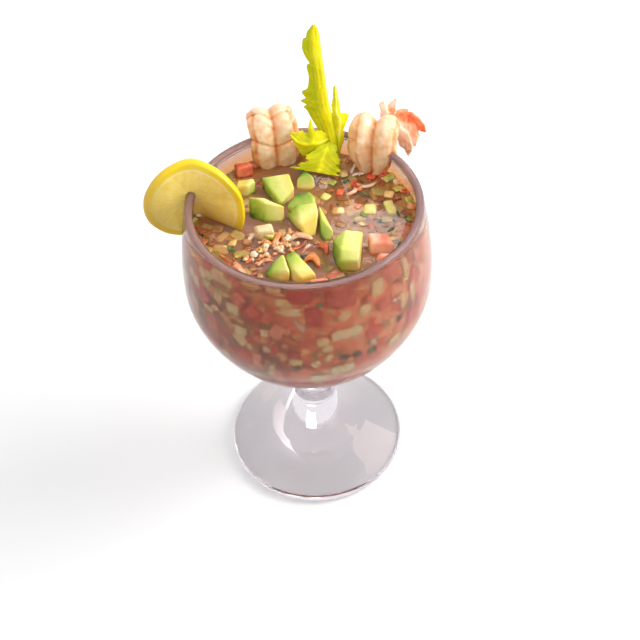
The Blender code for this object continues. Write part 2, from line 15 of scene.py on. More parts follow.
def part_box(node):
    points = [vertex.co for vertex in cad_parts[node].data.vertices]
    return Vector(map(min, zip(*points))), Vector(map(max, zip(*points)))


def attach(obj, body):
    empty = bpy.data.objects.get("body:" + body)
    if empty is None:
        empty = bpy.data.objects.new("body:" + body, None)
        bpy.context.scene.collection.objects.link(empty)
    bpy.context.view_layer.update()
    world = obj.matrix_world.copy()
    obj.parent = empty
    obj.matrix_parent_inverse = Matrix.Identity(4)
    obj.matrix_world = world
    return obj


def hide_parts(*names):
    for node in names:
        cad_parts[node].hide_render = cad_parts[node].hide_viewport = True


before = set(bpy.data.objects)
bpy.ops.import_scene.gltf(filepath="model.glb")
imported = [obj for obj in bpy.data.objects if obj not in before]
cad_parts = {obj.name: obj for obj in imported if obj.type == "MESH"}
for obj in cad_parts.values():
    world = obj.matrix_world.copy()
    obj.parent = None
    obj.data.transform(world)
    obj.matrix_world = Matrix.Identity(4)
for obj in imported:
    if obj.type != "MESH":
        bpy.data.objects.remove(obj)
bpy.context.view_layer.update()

bl_info = {
    "name": "Shrimp cocktail looks",
    "version": (1, 0, 0),
    "blender": (4, 5, 0),
    "location": "View3D > Sidebar > Cocktail",
    "description": "Builds the goblet, its broth and vegetables, and what hangs on its rim",
    "category": "Object",
}

MM = 0.001

# The bowl, as in the solid
RIM_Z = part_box("goblet")[1][2] / MM
BELLY_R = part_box("goblet")[1][0] / MM
RIM_R = 60.0
BELLY_Z = 148.2         # where it is widest
BOTTOM_Z = 79.0         # where its lower curve would close
BOWL_POWER = 1.7        # how square that curve is: 2 is an ellipse
WALL = 4.2
FLOOR = 9.0
# Outer line of the foot and the stem, as (r, z)
FOOT = [(50.0, 0.0), (51.5, 0.4), (52.9, 1.5), (53.7, 3.2), (53.3, 5.3), (51.6, 7.0),
        (48.8, 8.6), (46.0, 10.2), (42.0, 12.6), (38.0, 15.0), (34.4, 17.2), (31.6, 19.0),
        (30.2, 20.1), (28.4, 21.6), (26.0, 23.6), (20.0, 29.4), (15.6, 36.4), (13.0, 44.4),
        (12.4, 53.0), (13.4, 63.0), (17.0, 73.6), (23.6, 84.0)]

LEVEL = 182.0           # the broth's surface
INTO_WALL = 0.15        # how far the broth reaches into the glass, so that no air shows
MENISCUS = 0.7          # how far the broth climbs the wall
FILM_TOP = 195.5        # how high its film reaches
FILM_THICK = 0.12
CLIMB = 13.4            # how far the cocktail is heaped up the wall in front
CLIMB_THICK = 4.8       # how thick that heap is
CLIMB_FROM = 166.0      # below this height nothing is moved by it
CORE_UNDER = 3.4        # how far the core's top lies under the surface
HANG_GAP = 0.3          # between the wall and the lemon hung on it

# The camera, fitted to the photograph
CAMERA_AT = (5.3, -381.1, 531.1)
CAMERA_PITCH = math.radians(47.98)      # below the horizon
CAMERA_ROLL = math.radians(2.67)
PHOTO_SIZE = 640
PHOTO_FOCAL = 1000.0                    # focal length in pixels of the photograph
GLASS_BEND = 1.4                        # how much the bowl bends a line of sight


# ---------------------------------------------------------------- small helpers


def linear(text):
    """An sRGB hex colour as linear RGBA."""
    values = [int(text[i:i + 2], 16) / 255 for i in (0, 2, 4)]
    values = [v / 12.92 if v <= 0.04045 else ((v + 0.055) / 1.055) ** 2.4 for v in values]
    return (*values, 1.0)


def add_node(tree, kind, inputs=None, stops=None, **settings):
    """Adds a shader node with its settings, and gives its inputs values or links. A node
    given as an input stands for its first output. Stops are the (place, sRGB hex colour)
    pairs of a colour ramp."""
    made = tree.nodes.new(kind)
    for name, value in settings.items():
        setattr(made, name, value)
    for key, value in (inputs or {}).items():
        if isinstance(value, bpy.types.Node):
            value = value.outputs[0]
        if isinstance(value, bpy.types.NodeSocket):
            tree.links.new(value, made.inputs[key])
        else:
            made.inputs[key].default_value = value
    for i, (place, colour) in enumerate(stops or ()):
        elements = made.color_ramp.elements
        stop = elements[i] if i < 2 else elements.new(place)
        stop.position = place
        stop.color = linear(colour)
    return made


def new_material(name, **sockets):
    """A material and its node tree and Principled shader; underscores stand for spaces."""
    made = bpy.data.materials.new(name)
    made.use_nodes = True
    shader = made.node_tree.nodes["Principled BSDF"]
    for key, value in sockets.items():
        shader.inputs[key.replace("_", " ")].default_value = value
    return made, made.node_tree, shader


def feed(shader, **sockets):
    """Links nodes or their outputs to a shader's sockets; underscores stand for spaces."""
    for key, value in sockets.items():
        source = value.outputs[0] if isinstance(value, bpy.types.Node) else value
        shader.id_data.links.new(source, shader.inputs[key.replace("_", " ")])


def select_only(ob):
    """Makes one object the selected and active one."""
    bpy.ops.object.select_all(action="DESELECT")
    ob.select_set(True)
    bpy.context.view_layer.objects.active = ob


def edit(ob, *steps):
    """Runs operators in edit mode on the whole object, each given with its settings."""
    select_only(ob)
    bpy.ops.object.mode_set(mode="EDIT")
    for operator, settings in steps:
        bpy.ops.mesh.select_all(action="SELECT")
        operator(**settings)
    bpy.ops.object.mode_set(mode="OBJECT")


def close_up(ob, within=1e-6):
    """Merges doubled points and turns the faces outwards."""
    edit(ob, (bpy.ops.mesh.remove_doubles, {"threshold": within}),
         (bpy.ops.mesh.normals_make_consistent, {"inside": False}))


def modify(ob, kind, **settings):
    """Adds a modifier with its settings and applies it."""
    step = ob.modifiers.new(kind.lower(), kind)
    for name, value in settings.items():
        setattr(step, name, value)
    select_only(ob)
    bpy.ops.object.modifier_apply(modifier=step.name)


def new_object(name, points, edges=(), faces=()):
    """An object from points in millimetres."""
    mesh = bpy.data.meshes.new(name)
    mesh.from_pydata([Vector(p) * MM for p in points], list(edges), list(faces))
    made = bpy.data.objects.new(name, mesh)
    bpy.context.scene.collection.objects.link(made)
    return made


def finish(ob, material, slot, *nodes):
    """Gives a piece its material, hangs it on the root body and hides the parts it stands for."""
    ob.data.materials.clear()
    ob.data.materials.append(material)
    ob.data.polygons.foreach_set("use_smooth", [True] * len(ob.data.polygons))
    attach(ob, "root")
    if nodes:
        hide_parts(*nodes)


def store(ob, name, values):
    """Keeps one number a point, for a material to read."""
    layer = ob.data.attributes.get(name) or ob.data.attributes.new(name, "FLOAT", "POINT")
    layer.data.foreach_set("value", np.asarray(values, np.float32))


def points_of(ob):
    """The points of an object, in millimetres."""
    flat = np.empty(len(ob.data.vertices) * 3, np.float32)
    ob.data.vertices.foreach_get("co", flat)
    return flat.reshape(-1, 3).astype(float) / MM


def set_points(ob, points):
    """Moves the points of an object to new places in millimetres."""
    ob.data.vertices.foreach_set("co", (np.asarray(points) * MM).astype(np.float32).ravel())
    ob.data.update()


def turned(name, line, steps):
    """A line of (r, z) points spun round the z axis into a closed shell."""
    made = new_object(name, [(r, 0, z) for r, z in line],
                      [(i, i + 1) for i in range(len(line) - 1)])
    edit(made, (bpy.ops.mesh.spin, {"steps": steps, "angle": 2 * math.pi,
                                    "center": (0, 0, 0), "axis": (0, 0, 1)}))
    close_up(made)
    return made


def join(name, objects):
    """Joins objects into the first one, under a new name."""
    select_only(objects[0])
    for ob in objects:
        ob.select_set(True)
    bpy.ops.object.join()
    objects[0].name = objects[0].data.name = name
    return objects[0]


def mapped_grid(name, across, along, place):
    """A grid whose points go where place(u, v) says, for u and v from 0 to 1."""
    bpy.ops.object.select_all(action="DESELECT")
    bpy.ops.mesh.primitive_grid_add(x_subdivisions=across, y_subdivisions=along, size=1)
    made = bpy.context.active_object
    made.name = made.data.name = name
    flat = points_of(made) * MM + 0.5
    set_points(made, [place(min(max(u, 0), 1), min(max(v, 0), 1)) for u, v, _ in flat])
    return made


def catmull(a, b, c, d, t):
    """Point and slope at t of the Catmull-Rom curve that goes from b to c."""
    square = 2 * a - 5 * b + 4 * c - d
    cube = 3 * b - a - 3 * c + d
    return (0.5 * (2 * b + (c - a) * t + square * t ** 2 + cube * t ** 3),
            0.5 * ((c - a) + 2 * square * t + 3 * cube * t ** 2))


def smooth_line(points, pieces):
    """A Catmull-Rom line through the points, with this many pieces between each two."""
    spots = [np.array(p, float) for p in points]
    spots = [2 * spots[0] - spots[1]] + spots + [2 * spots[-1] - spots[-2]]
    line = [catmull(*four, i / pieces)[0]
            for four in zip(spots, spots[1:], spots[2:], spots[3:]) for i in range(pieces)]
    return [tuple(p) for p in line + [spots[-2]]]


def step_of(part, count):
    """Which of count steps a part from 0 to 1 of the way falls in, and how far into it."""
    i = min(int(part * count), count - 1)
    return i, part * count - i


def wavy(point, size, seed=0.0):
    """Smooth noise from -1 to 1 with features of a size in millimetres."""
    return noise.noise(Vector(point) / size + Vector((seed, 3.1 * seed, -1.7 * seed)))


# ---------------------------------------------------------------- camera and bowl


def climb(x, y):
    """How far the cocktail stands up the wall above its level, in this direction."""
    front = max(0.0, -y / max(1.0, math.hypot(x, y)))
    return CLIMB * front ** 0.5 + front * 0.8 * wavy((x, y, 0), 7.0, 5.0)


def heap_up(spots, out, thick):
    """Heaps the edge of a turned shell up the front wall, this thick. The shell's side lies
    out behind the bowl's outside."""
    for spot in spots:
        x, y, z = spot
        r = math.hypot(x, y)
        if z <= CLIMB_FROM or r < 1:
            continue
        inside = max(0.0, bowl_radius(z) - out - r)
        rise = climb(x, y) * min(1.0, (z - CLIMB_FROM) / (LEVEL - CLIMB_FROM))
        rise *= math.exp(-(inside / thick) ** 2)
        drawn = (bowl_radius(z) - bowl_radius(z + rise)) * math.exp(-inside / 6)
        spot[:2] *= (r - drawn) / r
        spot[2] += rise
    return spots


def camera_axes():
    """The camera's right, up and forward directions."""
    ahead = Vector((0, math.cos(CAMERA_PITCH), -math.sin(CAMERA_PITCH)))
    right = Vector((1, 0, 0))
    up = right.cross(ahead)
    turn = Matrix.Rotation(CAMERA_ROLL, 3, ahead)
    return turn @ right, turn @ up, ahead


def photo_ray(px, py):
    """The direction from the camera through a pixel of the photograph."""
    right, up, ahead = camera_axes()
    middle = PHOTO_SIZE / 2
    return (ahead * PHOTO_FOCAL + right * (px - middle) + up * (middle - py)).normalized()


def on_level(px, py, z=LEVEL):
    """Where a pixel of the photograph meets the level z."""
    ray = photo_ray(px, py)
    spot = Vector(CAMERA_AT) + ray * ((z - CAMERA_AT[2]) / ray.z)
    return spot.x, spot.y


def bowl_radius(z):
    """Outer radius of the bowl at height z."""
    if z >= BELLY_Z:
        return BELLY_R - (BELLY_R - RIM_R) * ((z - BELLY_Z) / (RIM_Z - BELLY_Z)) ** 2
    part = min((BELLY_Z - z) / (BELLY_Z - BOTTOM_Z), 1.0)
    return BELLY_R * (1 - part ** BOWL_POWER) ** (1 / BOWL_POWER)


def bowl_slope(z):
    """How fast the bowl widens with height at height z."""
    return (bowl_radius(z + 1) - bowl_radius(z - 1)) / 2


def inner_radius(z, deeper=0.0):
    """Radius of the bowl's inside at height z, or of a surface deeper in the cocktail."""
    if z >= BELLY_Z:
        return bowl_radius(z) - WALL - deeper
    part = (BELLY_Z - z) / (BELLY_Z - BOTTOM_Z - FLOOR - deeper)
    if part >= 1:
        return 0.0
    return (BELLY_R - WALL - deeper) * (1 - part ** BOWL_POWER) ** (1 / BOWL_POWER)


def in_bowl(px, py, deep):
    """A place this deep behind the bowl's inner wall, seen at a pixel of the photograph.
    The line of sight bends towards the surface's normal where it enters the glass."""
    ray = photo_ray(px, py)
    spot = Vector(CAMERA_AT)
    while math.hypot(spot.x, spot.y) > bowl_radius(min(spot.z, RIM_Z)) or spot.z > RIM_Z:
        spot += ray
    out = Vector((spot.x, spot.y, 0)).normalized() - Vector((0, 0, bowl_slope(spot.z)))
    out.normalize()
    side = (ray - out * ray.dot(out)) / GLASS_BEND
    ray = side - out * math.sqrt(max(0.0, 1 - side.length_squared))
    return spot + ray * ((WALL + deep) / max(0.3, -ray.dot(out)))


def lower_line(deep, out, first, last, steps):
    """The bowl's lower curve from the belly, drawn in by deep and out, as (r, z)."""
    line = []
    for i in range(steps):
        a = math.radians(first + (last - first) * i / (steps - 1))
        line.append(((BELLY_R - out) * math.cos(a) ** (2 / BOWL_POWER),
                     BELLY_Z - (BELLY_Z - BOTTOM_Z - deep) * math.sin(a) ** (2 / BOWL_POWER)))
    return line


def upper_line(out, low, high, steps):
    """The bowl's upper curve, drawn in by out, as (r, z)."""
    heights = [low + (high - low) * i / (steps - 1) for i in range(steps)]
    return [(bowl_radius(z) - out, z) for z in heights]


# The middle of the rim's rounding
ROUND_Z = RIM_Z - WALL / 2
ROUND_R = bowl_radius(ROUND_Z) - WALL / 2


def rim_round(wide, high, angles):
    """Points round the middle of the rim at these angles in degrees, as (r, z)."""
    return [(ROUND_R + wide * math.cos(math.radians(a)), ROUND_Z + high * math.sin(math.radians(a)))
            for a in angles]


def cut_by_wall(ob):
    """Takes away what would lie in the glass or too near it."""
    low, high, half = 160.0, 196.0, WALL / 2 + HANG_GAP
    line = upper_line(-HANG_GAP, low, high, 8) + rim_round(half, half, range(20, 161, 14))
    line += upper_line(WALL + HANG_GAP, high, low, 8)
    ring = turned("wall_ring", line + line[:1], 128)
    modify(ob, "BOOLEAN", object=ring, operation="DIFFERENCE", solver="MANIFOLD")
    bpy.data.objects.remove(ring)


# ---------------------------------------------------------------- materials


def by_height(tree, low, high, stops):
    """A colour that changes with height, from low to high in millimetres."""
    place = add_node(tree, "ShaderNodeTexCoord").outputs["Object"]
    height = add_node(tree, "ShaderNodeSeparateXYZ", {0: place}).outputs[2]
    part = add_node(tree, "ShaderNodeMapRange", {"Value": height, "From Min": low * MM,
                                                 "From Max": high * MM})
    return add_node(tree, "ShaderNodeValToRGB", {"Fac": part}, stops)


def fill_volume(tree, colour, density):
    """Lets the inside of a material take in light, towards a colour, this fast a metre."""
    volume = add_node(tree, "ShaderNodeVolumeAbsorption",
                      {"Color": (*colour, 1.0), "Density": density})
    tree.links.new(volume.outputs[0], tree.nodes["Material Output"].inputs["Volume"])


def glass_material(settings):
    """Pressed soda-lime glass, polished at the foot and left colourless there as painted light,
    which makes up for the bowl's shade over the foot. The rim has a mauve cast and is worn a little
    matt by washing."""
    made, tree, shader = new_material("pressed_soda_lime_glass", IOR=1.5,
                                      Transmission_Weight=0.99)
    # Painted light: colourless towards the foot, which the bowl shades, and mauve towards the rim
    tint = by_height(tree, 60.0, RIM_Z, [(0.0, "fefdfe"), (0.3, "fdfaf9"), (0.92, "fbf5f4"),
                                         (0.98, "f4e8ea")])
    worn = by_height(tree, RIM_Z - 7.0, RIM_Z - 1.5, [(0.0, "000000"), (1.0, "888888")])
    # Where glass meets broth there is nothing to reflect, so the shine is on the outside
    wet = add_node(tree, "ShaderNodeAttribute", attribute_name="under_broth").outputs["Fac"]
    shine = add_node(tree, "ShaderNodeValToRGB", {"Fac": wet},
                     [(0.0, "a08478"), (1.0, "2a2018")])
    feed(shader, Base_Color=tint, Roughness=worn, Specular_Tint=shine)
    fill_volume(tree, settings.tint, settings.tint_strength)
    return made


def broth_material(settings):
    """Tomato and clam broth: watery and glossy, cloudy, redder the deeper one looks."""
    made, tree, shader = new_material("tomato_clam_broth", IOR=1.34,
                                      Transmission_Weight=settings.clearness)
    at_wall = add_node(tree, "ShaderNodeAttribute", attribute_name="at_wall").outputs["Fac"]
    # Paler and pinker at the surface, where fat and froth gather. Pulp clouds it at the wall,
    # so that what lies deeper blurs. It shines where it meets air, not where it meets glass
    for socket, stops in (("Base_Color", [(0.0, "f0dcd2"), (1.0, "fef3e4")]),
                          ("Roughness", [(0.0, "484848"), (1.0, "949494")]),
                          ("Specular_Tint", [(0.0, "ffffff"), (1.0, "2a2018")])):
        feed(shader, **{socket: add_node(tree, "ShaderNodeValToRGB", {"Fac": at_wall}, stops)})
    place = add_node(tree, "ShaderNodeTexCoord").outputs["Object"]
    # Ripples 7 mm long between the floating pieces
    ripple = add_node(tree, "ShaderNodeTexNoise", {"Vector": place, "Scale": 1 / (7 * MM),
                                                   "Detail": 2.0})
    feed(shader, Normal=add_node(tree, "ShaderNodeBump", {
        "Height": ripple, "Strength": 0.35, "Distance": 0.6 * MM}))
    fill_volume(tree, settings.depth_colour, settings.depth)
    return made


def flesh_material(name, stops, grain, fine, rough=0.35, wet=0.4, under=0.2,
                   under_mm=2.0, blend=0.55, shine=0.5):
    """Moist cut food: its colour follows a number kept in the mesh, stirred by noise of
    a grain in millimetres, the less the higher blend is, over a fine relief. Light goes a
    little way in."""
    made, tree, shader = new_material(
        name, Roughness=rough, Coat_Weight=wet, Coat_Roughness=0.12, IOR=1.4,
        Specular_IOR_Level=shine, Subsurface_Weight=under, Subsurface_Scale=under_mm * MM)
    shader.inputs["Subsurface Radius"].default_value = (1.0, 0.6, 0.35)
    place = add_node(tree, "ShaderNodeTexCoord").outputs["Object"]
    kept = add_node(tree, "ShaderNodeAttribute", attribute_name="shade").outputs["Fac"]
    patch = add_node(tree, "ShaderNodeTexNoise", {"Vector": place, "Scale": 1 / (grain * MM),
                                                  "Detail": 4.0, "Roughness": 0.6})
    patchy = add_node(tree, "ShaderNodeMapRange", {"Value": patch, "From Min": 0.3,
                                                   "From Max": 0.7, "To Min": blend / 2 - 0.5,
                                                   "To Max": 0.5 - blend / 2})
    sum_up = add_node(tree, "ShaderNodeMath", {0: kept, 1: patchy}, operation="ADD",
                      use_clamp=True)
    grit = add_node(tree, "ShaderNodeTexNoise", {"Vector": place, "Scale": 1 / (fine * MM),
                                                 "Detail": 3.0})
    feed(shader, Base_Color=add_node(tree, "ShaderNodeValToRGB", {"Fac": sum_up}, stops),
         Normal=add_node(tree, "ShaderNodeBump", {"Height": grit, "Strength": 0.3,
                                                  "Distance": 0.4 * fine * MM}))
    return made


def lemon_material():
    """A cut lemon: waxy yellow rind, white pith, and pulp in wedges between membranes. The
    UV map holds the flat slice, so that the wedges stay straight when the slice folds."""
    made, tree, shader = new_material(
        "cut_lemon", Roughness=0.35, Coat_Weight=0.3, Coat_Roughness=0.15, IOR=1.4,
        Subsurface_Weight=0.45, Subsurface_Scale=5.0 * MM)
    shader.inputs["Subsurface Radius"].default_value = (1.0, 0.8, 0.25)
    flat = add_node(tree, "ShaderNodeUVMap", uv_map="UVMap")
    from_heart, from_middle = (
        add_node(tree, "ShaderNodeVectorMath", {0: flat, 1: (*at, 0.0)}, operation="SUBTRACT")
        for at in (LEMON_HEART, (0.5, 0.5)))
    near, out = (add_node(tree, "ShaderNodeVectorMath", {0: way}, operation="LENGTH").outputs[1]
                 for way in (from_heart, from_middle))
    reach = add_node(tree, "ShaderNodeMath", {0: out, 1: 2.0}, operation="MULTIPLY")
    across, up, _ = add_node(tree, "ShaderNodeSeparateXYZ", {0: from_heart}).outputs
    angle = add_node(tree, "ShaderNodeMath", {0: up, 1: across}, operation="ARCTAN2")
    # A slow stir makes the wedges unequal
    stir = add_node(tree, "ShaderNodeTexNoise", {"Vector": from_heart, "Scale": 2.2})
    spin = add_node(tree, "ShaderNodeMath", {0: angle, 1: LEMON_WEDGES / (2 * math.pi)},
                    operation="MULTIPLY")
    spin = add_node(tree, "ShaderNodeMath", {0: stir, 1: 0.9, 2: spin},
                    operation="MULTIPLY_ADD")
    wedge = add_node(tree, "ShaderNodeMath", {0: spin, 1: 0.5}, operation="PINGPONG")
    # How far a membrane is in mm, so that the membranes keep their 0.5 mm
    wide = add_node(tree, "ShaderNodeMath",
                    {0: near, 1: 2 * LEMON_R * 2 * math.pi / LEMON_WEDGES},
                    operation="MULTIPLY")
    gap = add_node(tree, "ShaderNodeMath", {0: wedge, 1: wide}, operation="MULTIPLY")
    skin = add_node(tree, "ShaderNodeMapRange", {"Value": gap, "From Min": 0.2,
                                                 "From Max": 0.5, "To Min": 0.6, "To Max": 0.0})
    # Juice sacs: long along the wedge, 1 mm across
    sac_place = add_node(tree, "ShaderNodeCombineXYZ", {0: angle, 1: reach})
    sac_place = add_node(tree, "ShaderNodeVectorMath", {0: sac_place, 1: (4.0, 4.0, 1.0)},
                         operation="MULTIPLY")
    sacs = add_node(tree, "ShaderNodeTexVoronoi", {"Vector": sac_place, "Scale": 2.0},
                    feature="SMOOTH_F1")
    pulp = add_node(tree, "ShaderNodeValToRGB", {"Fac": sacs},
                    [(0.0, "f6e48c"), (0.45, "f2dc70"), (0.9, "eccf5c")])
    pulp = add_node(tree, "ShaderNodeMix", {0: skin, 6: pulp, 7: linear("f4e294")},
                    data_type="RGBA").outputs[2]
    # From the pith at the heart to the rind
    rings = add_node(tree, "ShaderNodeValToRGB", {"Fac": reach},
                     [(0.0, "f4e6a4"), (0.8, "f4e8a8"), (0.83, "f0e088"), (0.86, "e8d044"),
                      (0.94, "e6cc1c"), (1.0, "e4c40c")])
    rind = add_node(tree, "ShaderNodeMapRange", {"Value": reach, "From Min": 0.79,
                                                 "From Max": 0.815})
    heart = add_node(tree, "ShaderNodeMapRange", {"Value": near, "From Min": 0.045,
                                                  "From Max": 0.028})
    no_pulp = add_node(tree, "ShaderNodeMath", {0: rind, 1: heart}, operation="MAXIMUM")
    colour = add_node(tree, "ShaderNodeMix", {0: no_pulp, 6: pulp, 7: rings},
                      data_type="RGBA").outputs[2]
    # Darker ochre on the outer left half, as painted shade on the side away from the light, and
    # darker amber low on the half inside the bowl
    place = add_node(tree, "ShaderNodeTexCoord").outputs["Object"]
    where = add_node(tree, "ShaderNodeSeparateXYZ", {0: place}).outputs
    shaded_outside, dips, inside = (
        add_node(tree, "ShaderNodeMapRange", {
            "Value": where[axis], "From Min": low * MM, "From Max": high * MM, "To Max": much})
        for axis, low, high, much in ((0, -67.0, -80.0, 0.8), (2, 190.0, 181.0, 0.55),
                                      (0, -58.0, -52.0, 1.0)))
    dips = add_node(tree, "ShaderNodeMath", {0: dips, 1: inside}, operation="MULTIPLY")
    for part, stain_and_light in ((shaded_outside, "b4902e"), (dips, "b88c34")):
        colour = add_node(tree, "ShaderNodeMix", {0: part, 6: colour, 7: linear(stain_and_light)},
                          data_type="RGBA").outputs[2]
    # Oil glands in the rind, 1.2 mm apart, and sacs on the cut face
    pores = add_node(tree, "ShaderNodeTexVoronoi", {"Vector": place, "Scale": 1 / (1.2 * MM)})
    relief = add_node(tree, "ShaderNodeMix", {0: rind, 2: sacs, 3: pores}, data_type="FLOAT")
    feed(shader, Base_Color=colour, Normal=add_node(tree, "ShaderNodeBump", {
        "Height": relief, "Strength": 0.35, "Distance": 0.4 * MM}))
    return made


# ---------------------------------------------------------------- lemon, shrimps, celery

LEMON_AT = (-55.6, 12.8, 192.6)
LEMON_R = 26.2
LEMON_HALF = 2.5        # half its thickness
LEMON_WEDGES = 8
LEMON_HEART = (0.48, 0.52)              # where the wedges meet, on the UV map
LEMON_EDGE = 1.1        # rounding of the rind's edge
LEMON_FACE = 0.43       # how much of the grid each cut face takes up
LEMON_FOLD = (0.36, 0.42)               # how steeply it bends forward, outside and inside
LEMON_SOFT = 4.0        # how round that bend is


def lemon_place(x, z, side):
    """A point of the folded slice: x across, z up from its middle, side through it."""
    bend = (math.hypot(x, LEMON_SOFT) - LEMON_SOFT) * LEMON_FOLD[int(x > 0)]
    if x > 0:
        # Inside, its lower half swings further forward
        bend += 0.014 * x * max(0.0, 5.0 - z)
        x *= 0.97
    return LEMON_AT[0] + x, LEMON_AT[1] - bend - 0.09 * z + side, LEMON_AT[2] + z


def make_lemon():
    """The slice: round, folded forward on both sides of the wall, slit where it sits."""
    flat = LEMON_R - LEMON_EDGE

    def place(u, v):
        turn = 2 * math.pi * u
        if LEMON_FACE <= v <= 1 - LEMON_FACE:
            a = (v - LEMON_FACE) / (1 - 2 * LEMON_FACE) * math.pi
            far = flat + LEMON_EDGE * math.sin(a)
            side = LEMON_HALF * math.cos(a)
        else:
            far = min(v, 1 - v) / LEMON_FACE * flat
            side = math.copysign(LEMON_HALF, 0.5 - v)
        sunk = 0.35 * max(0.0, 1 - (far / (0.84 * LEMON_R)) ** 8)
        ripple = 0.25 * abs(math.sin(turn * LEMON_WEDGES / 2)) * min(far / 8, 1)
        side -= math.copysign(sunk * ripple * 2, side)
        far += 0.25 * wavy((far * math.cos(turn), far * math.sin(turn), 0), 9.0)
        return lemon_place(far * math.cos(turn), far * math.sin(turn), side)
    made = mapped_grid("lemon_wheel", 144, 64, place)
    for spot in made.data.uv_layers.active.data:
        u, v = spot.uv
        face = min(v, 1 - v) / LEMON_FACE
        far = face * flat / LEMON_R / 2 if face <= 1 else 0.5
        spot.uv = (0.5 + far * math.cos(2 * math.pi * u), 0.5 + far * math.sin(2 * math.pi * u))
    close_up(made)
    cut_by_wall(made)
    finish(made, lemon_material(), "lemon", "lemon_slice")


# The shrimps: where each stands, which way its back faces in degrees, how deep the cleft
# along its back is, how thick its near end is, its width, its segments' seams, where the
# first one is and how deep they are, its folds, and its middle line as (outwards, z)
SHRIMPS = {
    "shrimp_left": {
        "at": (-4.0, 3.0), "heading": 102.0, "cleft": 0.42, "head": 0.85, "wide": 30.0,
        "seams": 4.0, "first": 0.06, "notch": 0.12, "crease": 0.7,
        "folds": [(-0.86, 0.1), (0.84, -0.1)],
        "line": [(49.6, 174.0), (49.8, 183.0), (50.4, 193.0), (53.0, 201.0), (58.0, 205.4),
                 (63.6, 204.4), (67.0, 199.4), (68.6, 193.0)]},
    "shrimp_right": {
        "at": (33.8, 28.6), "heading": 74.0, "cleft": 0.78, "head": 0.42, "wide": 30.0,
        "seams": 3.0, "first": 0.1, "notch": 0.06, "crease": 0.15,
        "folds": [(-0.62, -0.2), (0.85, 0.2)],
        "line": [(12.2, 176.0), (12.0, 184.0), (11.6, 194.0), (13.2, 202.2), (17.4, 207.0),
                 (23.0, 206.8), (28.4, 201.6)]},
}
SHRIMP_THICK = 13.0
SHRIMP_LONG = 55.0      # along its back
SHRIMP_CAP = 0.03       # the part of its length in which each end closes
# The tail's blades: middle line from the root, then the widths along it in mm
TAIL = [
    ([(45.5, 53.4, 202.0), (44.8, 58.0, 206.6), (43.4, 62.4, 211.2)], (6, 6.5, 3)),
    ([(46.0, 54.0, 202.0), (48.6, 59.5, 207.2), (51.4, 63.8, 211.4)], (6, 7, 3)),
    ([(46.0, 54.0, 202.0), (52.0, 57.2, 206.0), (58.0, 57.0, 206.4)], (6, 6, 5)),
    ([(50.0, 55.5, 204.0), (57.0, 56.0, 204.5), (62.6, 54.2, 202.4), (66.4, 50.8, 198.4)],
     (5, 6, 6.5, 3.5)),
    ([(50.0, 54.0, 203.0), (56.0, 54.0, 200.0), (60.0, 52.0, 194.0), (61.0, 50.4, 189.6)],
     (6, 9, 9, 5)),
    ([(50.0, 53.0, 201.0), (54.5, 52.0, 196.0), (57.0, 50.4, 190.0), (57.6, 48.8, 184.6)],
     (5, 8, 8, 4))]
# Where its shell is reddest
RED_ARC = [(51.0, 57.0, 205.5), (57.0, 56.4, 205.5), (62.6, 54.2, 202.4), (66.4, 50.8, 198.4)]


def line_at(line, part):
    """Point and direction at a part from 0 to 1 of a smooth line through (d, z) points."""
    last = len(line) - 1
    i, t = step_of(part, last)
    four = (np.array(line[k], float) for k in (max(i - 1, 0), i, i + 1, min(i + 2, last)))
    point, slope = catmull(*four, t)
    return point, slope / np.linalg.norm(slope)


